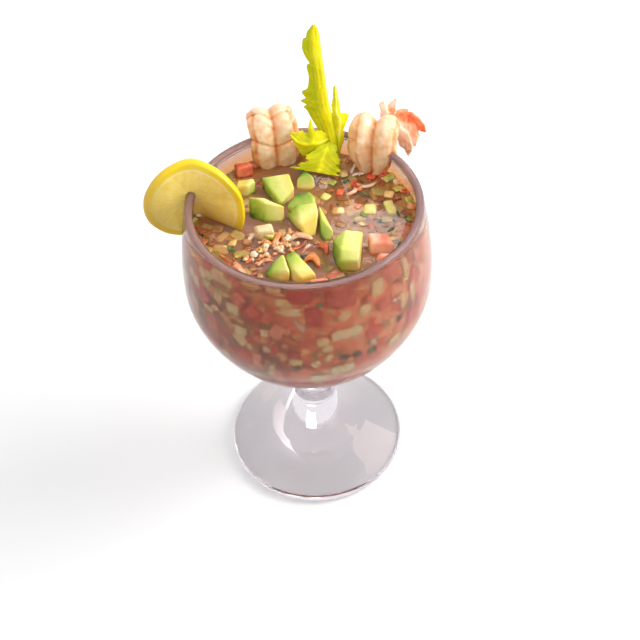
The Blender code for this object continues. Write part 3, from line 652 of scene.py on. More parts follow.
def make_shrimp(name, spec, material):
    """A peeled shrimp split along its back and bent over the rim, segment by segment."""
    heading = math.radians(spec["heading"])
    ahead = np.array((math.cos(heading), math.sin(heading)))
    aside = np.array((math.sin(heading), -math.cos(heading)))
    kept = []

    def place(u, v):
        part = min(max((v - SHRIMP_CAP) / (1 - 2 * SHRIMP_CAP), 0.0), 1.0)
        cap = min(v / SHRIMP_CAP, (1 - v) / SHRIMP_CAP, 1.0)
        (d, z), slope = line_at(spec["line"], part)
        turn = 2 * math.pi * u
        w, t = math.cos(turn), math.sin(turn)
        # The segments meet in a V at the back, and the two halves are out of step
        step = part - spec["first"] - 0.07 * (abs(w) - 0.3) + 0.016 * w
        seam = abs(math.sin(math.pi * spec["seams"] * step))
        bulge = 1 - spec["notch"] * (1 - seam ** 0.6)
        end = min(1.0, 0.35 + 2.6 * math.sin(math.pi * min(max(part, 0.02), 0.98)))
        grown = min(part / 0.42, 1.0)
        taper = spec["head"] + (1 - spec["head"]) * grown * grown * (3 - 2 * grown)
        size = bulge * end * taper * (1 - 0.2 * part) * cap
        groove = math.exp(-(w / 0.3) ** 2)
        t *= 1 - (spec["cleft"] if t > 0 else 0.25) * groove
        far = -slope[1] * t / 2 * SHRIMP_THICK * size
        up = slope[0] * t / 2 * SHRIMP_THICK * size
        flat = np.array(spec["at"]) + ahead * (d + far) + aside * (w / 2 * spec["wide"] * size)
        spot = Vector((flat[0], flat[1], z + up))
        across, along = w * spec["wide"] / 2, part * SHRIMP_LONG
        lump = wavy(spot, 4.5, 3.0) + 0.5 * wavy(spot, 2.2, 5.0)
        fibre = wavy((across / 0.8, along / 5.0, turn), 1.0, 2.0)
        crease = math.exp(-(seam / 0.16) ** 2) * spec["crease"]
        fold = sum(math.exp(-((w - at - lean * (part - 0.3)) / 0.07) ** 2)
                   for at, lean in spec["folds"]) if t > 0 else 0.0
        slit = math.exp(-(w / 0.07) ** 2) if t > 0 else 0.0
        push = 0.5 * lump + 0.16 * fibre - 0.75 * crease - 0.6 * fold - 0.9 * slit
        out = -slope[1] * math.sin(turn) * ahead + math.cos(turn) * aside
        out = Vector((*out, slope[0] * math.sin(turn)))
        # Colour: deeper orange in the creases, the slit, the folds and the groove, partly the
        # flesh's own and partly painted shade; lighter on the bumps as painted light; more orange
        # towards the outer sides
        kept.append(0.26 + 0.42 * crease + 0.4 * slit + 0.3 * fold + 0.2 * groove
                    + 0.3 * max(0.0, abs(w) - 0.6) / 0.4 - 0.3 * lump + 0.1 * fibre)
        return tuple(spot + out * push * cap)
    made = mapped_grid(name + "_flesh", 110, 170, place)
    store(made, "shade", kept)
    close_up(made)
    finish(made, material, "shrimp_flesh", name)


def make_tail(material):
    """The tail outside the rim: fleshy blades from one root, ragged at their ends."""
    blades = []
    for number, (spots, widths) in enumerate(TAIL):
        line = [Vector(spot) for spot in smooth_line(spots, 8)]
        count = len(line) - 1

        def place(u, v, line=line, widths=widths, count=count, number=number):
            turn = 2 * math.pi * u
            s = math.cos(turn)
            # Two or three points at the end, each with its own length
            far = v * (1 + 0.1 * math.cos(2.6 * math.pi * s + 2 * number) - 0.1 * abs(s))
            i, t = step_of(far, count)
            ahead = (line[i + 1] - line[i]).normalized()
            aside = ahead.cross(Vector((0.6, 0.6, -0.5))).normalized()
            up = ahead.cross(aside).normalized()
            middle = line[i] + (line[i + 1] - line[i]) * t
            end = min(v / 0.06, (1 - v) / 0.05, 1.0)
            wide = np.interp(v, np.linspace(0, 1, len(widths)), widths) * end
            wide *= 1 + 0.25 * wavy((v * 4, number, s > 0), 1.0, 2.0)
            deep = np.interp(v, (0, 0.5, 0.85, 1.0), (4.4, 3.6, 2.4, 1.2)) * end
            curl = 1.4 * s * s * v * (1 if number % 2 else -1)
            return tuple(middle + aside * (s * wide / 2)
                         + up * (math.sin(turn) * deep / 2 + curl))
        blade = mapped_grid("tail_blade", 48, 30, place)
        close_up(blade)
        blades.append(blade)
    made = join("shrimp_tail", blades)
    modify(made, "REMESH", mode="VOXEL", voxel_size=0.28 * MM)
    modify(made, "SMOOTH", factor=0.5, iterations=3)
    spots = points_of(made)
    for spot in spots:
        spot += 0.5 * np.array([wavy(spot, 3.2, k) for k in range(3)])
        spot += 0.16 * np.array([wavy(spot, 1.2, 5.0 + k) for k in range(3)])
    set_points(made, spots)
    arc = np.array(smooth_line(RED_ARC, 8))
    kept = []
    for spot in spots:
        near = np.linalg.norm(arc - spot, axis=1).min()
        kept.append(0.2 + 0.75 * math.exp(-(near / 3.6) ** 2) + 0.2 * wavy(spot, 4.0, 4.0)
                    + 0.12 * wavy(spot, 1.5, 6.0))
    store(made, "shade", kept)
    finish(made, material, "shrimp_flesh", "shrimp_right")


def make_shrimps():
    """Both shrimps, and the right one's tail."""
    flesh = flesh_material(
        "cooked_shrimp", [(0.0, "f2dec2"), (0.3, "eecaa2"), (0.6, "e6ac78"),
                          (0.85, "de9058"), (1.0, "d07444")],
        5.0, 0.7, rough=0.4, wet=0.45, under=0.35, under_mm=2.0, blend=0.78)
    shell = flesh_material(
        "cooked_shrimp_tail", [(0.0, "f4d2ba"), (0.3, "f2bd9a"), (0.55, "f0925e"),
                               (0.8, "ee6c34"), (1.0, "dc4c20")],
        4.0, 0.7, rough=0.3, wet=0.5, under=0.35, under_mm=1.5, blend=0.8)
    for name, spec in SHRIMPS.items():
        make_shrimp(name, spec, flesh)
    make_tail(shell)


# The celery's stalk and fringe: rows of (z, left edge, rib, right edge)
CELERY = [
    (176.4, 16.8, 18.8, 20.8), (183.0, 16.6, 18.6, 20.6), (192.1, 14.7, 17.4, 19.6),
    (200.3, 11.9, 16.0, 18.6), (208.4, 8.4, 14.7, 17.4), (214.5, 5.6, 13.7, 16.6),
    (219.5, 3.4, 13.0, 15.8), (221.2, 2.0, 12.7, 15.3), (222.6, 3.6, 12.5, 15.1),
    (225.0, 0.7, 12.2, 14.9), (226.4, 3.2, 12.0, 14.7), (230.3, 1.5, 11.5, 14.3),
    (232.3, 4.4, 11.3, 14.1), (238.8, 5.3, 10.6, 13.5), (244.7, 4.5, 10.1, 13.0),
    (246.3, 6.0, 10.0, 12.8), (250.0, 4.2, 9.7, 12.5), (255.0, 2.7, 9.3, 12.1),
    (259.5, 3.3, 8.9, 11.7), (260.5, 4.8, 8.6, 11.6), (263.2, 5.4, 8.4, 11.2),
    (265.4, 7.0, 8.6, 10.7), (267.2, 8.2, 8.9, 9.5)]
# Leaflets: rows of (left, middle, right) points
LEAFLETS = {
    "right": [
        [(18.4, 45.7, 188.1), (19.0, 45.7, 188.1), (19.6, 45.7, 188.1)],
        [(17.8, 46.3, 198.2), (19.8, 45.9, 197.2), (21.8, 46.7, 198.2)],
        [(17.2, 46.9, 206.3), (20.0, 46.3, 205.3), (22.9, 47.5, 205.8)],
        [(16.8, 47.3, 212.4), (20.2, 46.7, 212.4), (24.3, 48.4, 213.5)],
        [(16.8, 47.7, 217.5), (18.8, 47.1, 216.5), (21.2, 48.5, 215.0)],
        [(17.0, 48.1, 221.6), (18.6, 47.7, 222.0), (20.0, 48.6, 220.6)],
        [(17.6, 48.6, 226.6), (18.6, 48.1, 226.6), (19.5, 49.0, 226.6)],
        [(18.2, 49.0, 231.3), (18.4, 48.8, 231.7), (18.7, 49.0, 231.3)]],
    "left": [
        [(14.5, 45.5, 199.9), (14.7, 45.1, 201.9), (14.3, 45.9, 203.9)],
        [(10.7, 43.5, 196.8), (10.7, 42.7, 201.3), (10.5, 44.1, 206.3)],
        [(7.2, 42.1, 195.4), (7.4, 41.3, 201.3), (7.0, 43.1, 208.4)],
        [(5.4, 41.3, 196.0), (5.8, 40.4, 202.3), (5.2, 42.7, 213.2)],
        [(3.4, 40.6, 195.0), (3.6, 39.8, 202.3), (3.2, 41.5, 208.6)],
        [(0.3, 40.2, 196.0), (0.5, 39.2, 203.3), (0.1, 40.8, 209.0)],
        [(-2.7, 40.0, 201.1), (-2.5, 39.2, 205.3), (-2.9, 40.4, 209.8)],
        [(-5.4, 40.0, 208.6), (-5.5, 39.6, 209.2), (-5.6, 40.0, 209.8)]],
    "fan": [
        [(13.1, 44.5, 199.7), (14.7, 44.1, 200.3), (16.4, 44.5, 199.7)],
        [(7.8, 41.3, 198.6), (13.5, 40.6, 198.2), (18.0, 41.5, 197.4)],
        [(3.6, 37.8, 196.6), (11.1, 37.0, 195.4), (18.4, 38.0, 192.8)],
        [(2.0, 35.6, 194.2), (9.7, 34.8, 192.6), (18.0, 36.0, 189.3)],
        [(-1.3, 34.8, 192.3), (8.6, 33.3, 190.3), (18.2, 34.6, 186.9)],
        [(-4.7, 34.6, 190.9), (7.6, 32.5, 189.0), (17.2, 33.5, 185.4)]],
}

# Painted light: the right leaflet is painted paler, as light shining through it from behind, and
# the fan darker
LEAFLET_LIGHT = {"right": 0.36, "left": 0.26, "fan": 0.1}        # how pale each leaflet is
CELERY_Y = 44.5         # where the stalk stands at the broth's level
CELERY_LEAN = 0.055     # how much it leans back
CELERY_TIP = 272.4      # where it would thin out to nothing


def make_stalk():
    """The stalk and the leafy fringe on its left: ribs along it, teeth on its edge."""
    rows = smooth_line(CELERY, 6)
    kept = []

    def place(u, v):
        i, t = step_of(v, len(rows) - 1)
        z, left, rib, right = np.array(rows[i]) * (1 - t) + np.array(rows[i + 1]) * t
        front = u < 0.5
        s = 2 * u if front else 2 - 2 * u
        split = (rib - left) / (right - left)
        x = left + (right - left) * s
        slim = min(1.0, (CELERY_TIP - z) / 12) * min(v / 0.01, (1 - v) / 0.004, 1.0)
        thick = np.interp(s, (0.0, split * 0.5, split, split + (1 - split) * 0.6, 1.0),
                          (0.25, 1.0, 2.0, 1.8, 0.25)) * slim
        ridge = 0.09 * math.cos(2 * math.pi * (s * 5 + 0.3 * wavy((x, 0, z), 16.0, 4.0)))
        ridge *= min(1.0, 4 * s, 4 * (1 - s))
        y = CELERY_Y + (z - LEVEL) * CELERY_LEAN
        y += (-1 if front else 1) * (thick + ridge * slim)
        kept.append(0.04 + 0.5 * (1 - min(1.0, abs(s - split) * 3)) + 0.6 * ridge
                    + 0.12 * wavy((x, 0, z / 3), 5.0, 6.0))
        return x, y + 0.5 * wavy((x, 0, z), 11.0, 2.0), z
    made = mapped_grid("stalk", 64, 200, place)
    store(made, "shade", kept)
    close_up(made)
    return made


def make_leaflet(name, rows, pale):
    """A thin wavy leaflet with a midrib, side veins and toothed edges."""
    lines = [smooth_line([row[k] for row in rows], 8) for k in range(3)]
    count = len(lines[0]) - 1
    kept = []

    def place(u, v):
        i, t = step_of(v, count)
        left, middle, right = (Vector(line[i]).lerp(Vector(line[i + 1]), t) for line in lines)
        s = 2 * u - 1
        edge = left if s < 0 else right
        lobe = abs(math.sin(math.pi * v * 3.5)) - 0.4
        teeth = abs(math.sin(math.pi * v * 11)) - 0.5
        tooth = 1 + abs(s) ** 3 * (0.3 * lobe + 0.12 * teeth)
        point = middle.lerp(edge, abs(s) * tooth)
        stir = 0.35 * wavy(point, 7.0, 2.0)
        vein = abs(math.sin(math.pi * (v * 5 - abs(s) * 1.6 + stir)))
        relief = 0.4 * math.exp(-(s / 0.12) ** 2) - 0.16 * math.exp(-(vein / 0.35) ** 2)
        # The leaflet's own paleness here carries its painted light
        kept.append(pale + 0.35 * math.exp(-(s / 0.16) ** 2)
                    + 0.16 * math.exp(-(vein / 0.3) ** 2) + 0.25 * wavy(point, 6.0, 7.0))
        wave = 0.9 * wavy(point, 5.0, 9.0) * abs(s)
        across = right - left if (right - left).length > 0.01 else Vector((1, 0, 0))
        ahead = Vector(lines[1][min(i + 1, count)]) - Vector(lines[1][max(i - 1, 0)])
        out = across.normalized().cross(ahead).normalized()
        return tuple(point + out * (relief + wave))
    made = mapped_grid("leaflet_" + name, 28, 90, place)
    store(made, "shade", kept)
    modify(made, "SOLIDIFY", thickness=0.9 * MM, offset=0.0)
    close_up(made, 1e-7)
    return made


def make_celery():
    """The celery heart leaf: stalk, a narrow leaflet right of it and two drooping left."""
    leaf = flesh_material(
        "celery_heart", [(0.0, "b6bc10"), (0.3, "d2ce22"), (0.5, "ece20e"),
                         (0.75, "f0ea50"), (1.0, "f2f0a4")],
        8.0, 0.8, rough=0.5, wet=0.0, under=0.5, under_mm=2.5, blend=0.6, shine=0.2)
    pieces = [make_stalk()] + [make_leaflet(name, rows, LEAFLET_LIGHT[name])
                               for name, rows in LEAFLETS.items()]
    finish(join("celery_heart", pieces), leaf, "celery_leaf", "celery")


# ---------------------------------------------------------------- goblet, broth and core


def make_goblet(settings):
    """The goblet in one closed shell: flat underside, foot, stem, bowl and fire-rounded rim."""
    low, high = BELLY_Z + 2, ROUND_Z - 0.5
    line = [(0.0, 0.0)] + smooth_line(FOOT + lower_line(0, 0, 60, 0, 14), 4)
    line += upper_line(0, low, high, 24) + rim_round(WALL / 2, WALL / 2, range(6, 175, 12))
    line += upper_line(WALL, high, low, 24) + lower_line(FLOOR, WALL, 0, 88, 40)
    line.append((0.0, BOTTOM_Z + FLOOR))
    made = turned("goblet_glass", line, 160)
    store(made, "under_broth", [
        BOTTOM_Z + FLOOR - 1 < z < LEVEL + climb(x, y)
        and math.hypot(x, y) < bowl_radius(z) - WALL / 2 for x, y, z in points_of(made)])
    finish(made, glass_material(settings), "clear_glass", "goblet")


def make_rim_cast():
    """The mauve cast that runs round inside the rim, as a ring in the glass."""
    made = turned("rim_cast", rim_round(1.3, 1.2, range(0, 361, 24)), 144)
    spots = points_of(made)
    for spot in spots:
        # It is thinner in front
        r = math.hypot(spot[0], spot[1])
        thin = 0.4 * max(0.0, -spot[1] / r)
        spot[2] += (ROUND_Z - spot[2]) * thin
        spot[:2] *= 1 + (ROUND_R / r - 1) * thin
    set_points(made, spots)
    look, tree, shader = new_material("mauve_cast_glass", Roughness=0.35, IOR=1.02,
                                      Transmission_Weight=0.5)
    place = add_node(tree, "ShaderNodeTexCoord").outputs["Object"]
    # The cast is uneven over 3 cm, and greyer at the right
    uneven = add_node(tree, "ShaderNodeTexNoise", {"Vector": place, "Scale": 1 / (30 * MM)})
    side = add_node(tree, "ShaderNodeSeparateXYZ", {0: place})
    side = add_node(tree, "ShaderNodeMath", {0: side, 1: 6.0, 2: uneven},
                    operation="MULTIPLY_ADD")
    feed(shader, Base_Color=add_node(tree, "ShaderNodeValToRGB", {"Fac": side}, [
        (0.1, "d8bcb2"), (0.5, "f0d4ca"), (0.95, "c8b0ae")]))
    finish(made, look, "clear_glass", "goblet")


def make_broth(settings):
    """The broth up to its level. It reaches into the wall and climbs it a little."""
    out = WALL - INTO_WALL
    line = [(0.0, BOTTOM_Z + FLOOR - INTO_WALL)] + lower_line(FLOOR - INTO_WALL, out, 88, 0, 34)
    line += upper_line(out, BELLY_Z + 2, LEVEL + MENISCUS, 20)
    edge = line[-1][0]
    for i in range(1, 60):
        r = edge * (1 - i / 60)
        line.append((r, LEVEL + MENISCUS * math.exp((r - edge + INTO_WALL) / 1.3)))
    line.append((0.0, LEVEL))
    made = turned("broth", line, 144)
    spots = points_of(made)
    store(made, "at_wall", [bowl_radius(z) - out - math.hypot(x, y) < 0.05 or z < LEVEL - 1
                            for x, y, z in spots])
    set_points(made, heap_up(spots, out, CLIMB_THICK))
    finish(made, broth_material(settings), "cocktail_mix", "cocktail")


def make_cloudy_layer():
    """The clouded broth just under the surface, with pulp and fat in it."""
    top, thick, rings = LEVEL - 1.7, 0.5, 44
    edge = inner_radius(LEVEL) - 0.8
    line = [(edge * i / rings, top) for i in range(rings + 1)]
    line += [(r, z - thick) for r, z in reversed(line)]
    made = turned("cloudy_layer", line, 128)
    spots = points_of(made)
    kept = []
    for spot in spots:
        flat = (spot[0], spot[1], 0)
        out = math.hypot(spot[0], spot[1]) / edge
        spot[2] += 0.7 * wavy(flat, 7.0, 3.0) + 0.3 * wavy(flat, 2.5, 4.0)
        # In front its edge stays inside the heap
        spot[:2] *= 1 - out ** 4 * 0.07 * min(1.0, climb(spot[0], spot[1]) / 4)
        # Mauve at the middle and left; amber towards the wall, partly oil and partly painted light
        # where light comes in through the glass; lighter amber towards the right, as painted light
        # from the right
        kept.append(0.36 + 2.4 * max(0.0, out - 0.75) + 0.15 * spot[0] / edge
                    + 0.3 * wavy(flat, 14.0, 1.0) + 0.2 * wavy(flat, 4.0, 2.0))
    set_points(made, spots)
    store(made, "shade", kept)
    finish(made, flesh_material(
        "clouded_broth", [(0.0, "b89c98"), (0.3, "be9a80"), (0.55, "caa068"), (0.8, "deb25c"),
                          (1.0, "f0cc70")], 5.0, 1.4, rough=0.5, wet=0.0, under=0.0, blend=0.7),
        "cocktail_mix", "cocktail")


def make_film(settings):
    """The thin film that the broth left on the wall when the bowl was filled."""
    start = LEVEL + MENISCUS
    heights = [start + (FILM_TOP - start) * i / 16 for i in range(17)]
    line = [(bowl_radius(z) - WALL + INTO_WALL, z) for z in heights]
    line += [(bowl_radius(z) - WALL - FILM_THICK, z) for z in reversed(heights)]
    made = turned("film_on_wall", line + line[:1], 144)
    spots = points_of(made)
    for spot in spots:
        behind = bowl_radius(spot[2]) - math.hypot(spot[0], spot[1])
        low = start + climb(spot[0], spot[1])
        part = (spot[2] - start) / (FILM_TOP - start)
        spot[2] = low + max(0.3, FILM_TOP - low) * part
        spot[:2] *= (bowl_radius(spot[2]) - behind) / math.hypot(spot[0], spot[1])
    set_points(made, spots)
    look, tree, shader = new_material("dried_broth_film", Roughness=0.04, IOR=1.34,
                                      Transmission_Weight=settings.film_clearness)
    feed(shader, Base_Color=by_height(tree, LEVEL, FILM_TOP, [
        (0.0, "eaa85c"), (0.5, "e6b488"), (1.0, "e2c8be")]))
    finish(made, look, "cocktail_mix", "cocktail")


def stew_material():
    """Tomato pulp in clouded broth: mauve-brown at the left, salmon at the right as painted light
    from the right, amber at the bottom and pale at the top as painted light, with soft blots of
    what can't be made out."""
    made, tree, shader = new_material("tomato_pulp", Roughness=0.5)
    place = add_node(tree, "ShaderNodeTexCoord").outputs["Object"]
    across, _, up = add_node(tree, "ShaderNodeSeparateXYZ", {0: place}).outputs
    stir = add_node(tree, "ShaderNodeTexNoise", {"Vector": place, "Scale": 1 / (30 * MM)})
    # Painted light: mauve-brown at the left turning salmon at the right, where light comes through
    # from the right
    side = add_node(tree, "ShaderNodeMapRange", {"Value": across, "From Min": -62 * MM,
                                                 "From Max": 62 * MM, "To Min": -0.2,
                                                 "To Max": 0.7})
    side = add_node(tree, "ShaderNodeMath", {0: side, 1: stir}, operation="ADD")
    colour = add_node(tree, "ShaderNodeValToRGB", {"Fac": side},
                      [(0.25, "c4a088"), (0.45, "b08060"), (0.6, "a45a3c"), (0.72, "e07c50"),
                       (0.86, "ffa078"), (1.0, "ffb890")]).outputs[0]
    layers = []
    # Blots of tomato, onion and cucumber: size in mm, shift of the noise, its edge
    for size, shift, low, high, blot in ((9, 0.0, 0.52, 0.64, "e84c28"),
                                         (6, 3.0, 0.54, 0.66, "f8d088"),
                                         (8, 7.0, 0.58, 0.7, "8c8040")):
        apart = add_node(tree, "ShaderNodeVectorMath", {0: place, 1: (shift, shift, shift)})
        blots = add_node(tree, "ShaderNodeTexNoise", {"Vector": apart,
                                                      "Scale": 1 / (size * MM)})
        layers.append((blots, low, high, 0.85, blot))
    # Amber towards the bottom, and painted light towards the top of the heap, where light gets in
    layers += [(up, (BOTTOM_Z + 34) * MM, (BOTTOM_Z + 12) * MM, 0.75, "c08c34"),
               (up, (LEVEL - 2) * MM, (LEVEL + CLIMB - 3) * MM, 0.7, "ffc498")]
    for value, low, high, much, stain_and_light in layers:
        part = add_node(tree, "ShaderNodeMapRange", {"Value": value, "From Min": low,
                                                     "From Max": high, "To Max": much})
        colour = add_node(tree, "ShaderNodeMix", {0: part, 6: colour, 7: linear(stain_and_light)},
                          data_type="RGBA").outputs[2]
    feed(shader, Base_Color=colour)
    return made


def make_core(settings):
    """The thick middle of the cocktail, where nothing more can be made out."""
    deep = settings.core_depth / MM
    line = [(0.0, BOTTOM_Z + FLOOR + deep)] + lower_line(FLOOR + deep, WALL + deep, 86, 0, 30)
    line += upper_line(WALL + deep, BELLY_Z + 2, LEVEL - CORE_UNDER, 14)
    edge = line[-1][0]
    line += [(edge * (1 - i / 26), LEVEL - CORE_UNDER) for i in range(1, 26)]
    line.append((0.0, LEVEL - CORE_UNDER))
    made = turned("thick_middle", line, 120)
    spots = points_of(made)
    for spot in spots:
        rise = 1.2 * wavy(spot, 9.0, 1.0) + 0.5 * wavy(spot, 4.0, 2.0)
        spot[:2] *= 1 - rise / 60
        spot[2] += 0.6 * rise
    set_points(made, heap_up(spots, WALL + deep, 0.8 * CLIMB_THICK))
    finish(made, stew_material(), "cocktail_mix", "cocktail")


# ---------------------------------------------------------------- scattered pieces


SHRED_LONG = 3.0        # a shred's length before it is scaled


def dice_model(name, seed, high, rough):
    """One diced bit, about 1 mm across before it is scaled: a cube with broken edges."""
    bpy.ops.object.select_all(action="DESELECT")
    bpy.ops.mesh.primitive_cube_add(size=1 * MM)
    made = bpy.context.active_object
    made.name = name
    made.scale = (1, 1, high)
    bpy.ops.object.transform_apply(location=False, rotation=False, scale=True)
    edit(made, (bpy.ops.transform.vertex_random,
                {"offset": rough * MM, "uniform": 1.0, "normal": 0.0, "seed": seed}))
    modify(made, "BEVEL", width=0.2 * MM, segments=2)
    return made


def flake_model(name, seed):
    """A scrap of coriander leaf: a small lobed sheet, bent once, about 1 mm across."""
    lobes = 5 + seed % 3

    def place(u, v):
        turn = 2 * math.pi * u
        out = 0.5 * v * (0.72 + 0.28 * math.cos(lobes * turn + seed))
        x, y = out * math.cos(turn), out * math.sin(turn)
        return x, y, 0.16 * wavy((x * 3, y * 3, seed), 1.0, seed) + 0.3 * abs(x) * (seed % 2)
    made = mapped_grid(name, 12, 2, place)
    close_up(made, 1e-7)
    modify(made, "SOLIDIFY", thickness=0.07 * MM, offset=0.0)
    return made


def shred_model(name, seed):
    """A bent shred, 0.7 mm thick before it is scaled."""
    def place(u, v):
        turn = 2 * math.pi * u
        thick = 0.36 * min(1.0, 6 * v, 6 * (1 - v)) ** 0.5
        bend = 0.5 * math.sin(math.pi * v + seed) + 0.2 * math.sin(5 * v + seed)
        return (SHRED_LONG * (v - 0.5), bend + thick * math.cos(turn) * 1.3,
                0.3 * math.sin(3 * v + seed) + thick * math.sin(turn) * 0.7)
    made = mapped_grid(name, 7, 9, place)
    close_up(made, 1e-7)
    return made


def crumb_model(name, seed):
    """A lumpy crumb of shrimp, 1 mm across before it is scaled."""
    bpy.ops.object.select_all(action="DESELECT")
    bpy.ops.mesh.primitive_uv_sphere_add(segments=8, ring_count=6, radius=0.5 * MM)
    made = bpy.context.active_object
    made.name = name
    edit(made, (bpy.ops.transform.vertex_random,
                {"offset": 0.1 * MM, "uniform": 1.0, "normal": 0.3, "seed": seed}))
    return made


def scatter(name, models, places, material, slot, *nodes):
    """One mesh of many copies. Each place is (point, size, turn, shade)."""
    shapes = [(points_of(model), [face.vertices[:] for face in model.data.polygons])
              for model in models]
    for model in models:
        bpy.data.objects.remove(model)
    points, faces, shades = [], [], []
    for number, (spot, size, turn, shade) in enumerate(places):
        shape, ends = shapes[number % len(shapes)]
        points.append(shape * np.array(size) @ np.array(turn.to_matrix()).T + np.array(spot))
        faces += [[k + len(shades) for k in end] for end in ends]
        shades += [shade] * len(shape)
    made = new_object(name, np.concatenate(points), (), faces)
    store(made, "shade", shades)
    finish(made, material, slot, *nodes)


def any_turn(tilt=math.pi):
    """A random turn, leaning no further than the tilt."""
    axis = Vector((random.uniform(-1, 1), random.uniform(-1, 1), 0.01)).normalized()
    lean = Matrix.Rotation(random.uniform(-tilt, tilt), 3, axis)
    spin = Matrix.Rotation(random.uniform(math.pi, 3 * math.pi), 3, "Z")
    return (lean @ spin).to_quaternion()


def wall_turn(x, y, z, tilt):
    """The turn that lays a flat piece against the wall, spun and tilted at random."""
    turn = Vector((x, y, -bowl_slope(z) * math.hypot(x, y))).to_track_quat("Z", "Y")
    spin = random.uniform(-math.pi, math.pi) if tilt else 0.0
    lean = Matrix.Rotation(random.uniform(-tilt, tilt), 3, "X").to_quaternion()
    return turn @ Matrix.Rotation(spin, 3, "Z").to_quaternion() @ lean


def taken_spots():
    """Where the larger pieces stand in the surface, as (x, y, radius)."""
    spots = []
    for name in CUBES:
        low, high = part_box(name)
        middle = (low + high) / 2 / MM
        spots.append((middle.x, middle.y, 0.42 * (high - low).to_2d().length / MM))
    # The shrimps with the celery between them, and along the lemon
    return spots + [(-14.0, 53.0, 14.0), (18.8, 44.5, 4.0), (39.0, 43.0, 12.0)] + [
        (x, 12.0 - 0.5 * (x - LEMON_AT[0]), 3.5) for x in (-52, -45, -38, -32)]


# What is seen on the surface: kind, pixel, length and width in mm, rise, shade
ON_SURFACE = [
    ("cucumber", 269, 233.5, 5, 4, 2.4, 0.5), ("shred", 300, 239, 14, 5, 0.6, 0.35),
    ("shred", 275, 240, 9, 5, 0.6, 0.7), ("crumb", 267, 242.5, 2.8, 2.8, 0.9, 0.9),
    ("crumb", 254, 252.5, 4.2, 4.2, 1.2, 0.1), ("crumb", 267, 253, 2.8, 2.8, 0.6, 0.2),
    ("onion", 247.5, 241, 5, 3.5, 0.6, 0.95), ("shred", 297, 246, 12, 2.5, 0.3, 0.9),
    ("tomato", 284, 241, 3.5, 2.5, 0.6, 0.8), ("cucumber", 261, 249, 4, 3, 0.5, 0.4),
    ("leaf", 244, 259, 5, 4, 0.3, 0.2), ("leaf", 231, 249, 7, 3, 0.4, 0.6),
    ("onion", 232, 241, 6, 4.5, 0.9, 0.3), ("onion", 236, 264, 5, 4, 0.5, 0.5),
    ("onion", 252.5, 267, 4.5, 3.5, 0.4, 0.6), ("onion", 260, 274, 5, 3.5, 0.4, 0.5),
    ("shred", 265, 262, 9, 3, 0.5, 0.6), ("shred", 312, 262, 10, 6, 0.8, 0.75),
    ("cucumber", 325.5, 195.5, 5.4, 5, 0.9, 0.3), ("onion", 343.6, 171.8, 5, 4.5, 1.5, 0.3),
    ("onion", 323.6, 180, 5, 4, 0.8, 0.5), ("cucumber", 332.7, 181, 4.5, 4, 0.8, 0.6),
    ("shred", 352.7, 168, 7, 2.5, 0.8, 0.05), ("shred", 358, 173.6, 7, 2.5, 0.8, 0.1),
    ("leaf", 345.5, 182, 6, 4, 0.4, 0.15), ("shred", 366, 182, 12, 4, 0.7, 0.3),
    ("shred", 351, 191, 8, 3.5, 0.6, 0.35), ("tomato", 340, 191, 5, 4, 0.8, 0.7),
    ("tomato", 371, 175.5, 5, 4, 0.9, 0.8), ("leaf", 394, 174, 9, 6, 1.2, 0.1),
    ("cucumber", 398, 187, 5, 4, 0.8, 0.5), ("onion", 389, 192, 6, 5.5, 1.3, 0.15),
    ("crumb", 398, 196, 4, 4, 0.9, 0.95), ("cucumber", 370, 207, 7.5, 7, 1.6, 0.25),
    ("cucumber", 390, 205.5, 10.5, 5, 1.3, 0.3), ("leaf", 398, 213, 7, 2, 0.4, 0.1),
    ("cucumber", 410, 218, 4, 3.5, 0.5, 0.8), ("leaf", 363.6, 193.6, 10, 1.6, 0.5, 0.5),
    ("onion", 355, 207, 12, 8, 0.5, 0.2), ("cucumber", 363.6, 213.6, 4, 2.5, 0.5, 0.95),
    ("tomato", 358, 205.5, 3.5, 3, 0.8, 0.3), ("onion", 338, 209, 7, 5, 0.7, 0.05),
    ("onion", 341, 222.7, 6, 4.5, 0.5, 0.6), ("leaf", 354.5, 222.7, 2.5, 2, 0.3, 0.3),
    ("onion", 362, 222.7, 3.5, 3, 0.5, 0.0), ("onion", 392, 238, 9, 2.8, 0.7, 0.1),
    ("leaf", 391, 229, 7, 1.6, 0.5, 0.6), ("onion", 380, 258, 5, 3.5, 0.5, 0.55),
    ("onion", 363.6, 244.5, 4, 3, 0.4, 0.0), ("onion", 300, 205, 5, 4, 0.5, 0.4),
    ("tomato", 306, 217, 5, 4, 0.4, 0.7), ("leaf", 283, 262, 4, 3, 0.3, 0.3)]
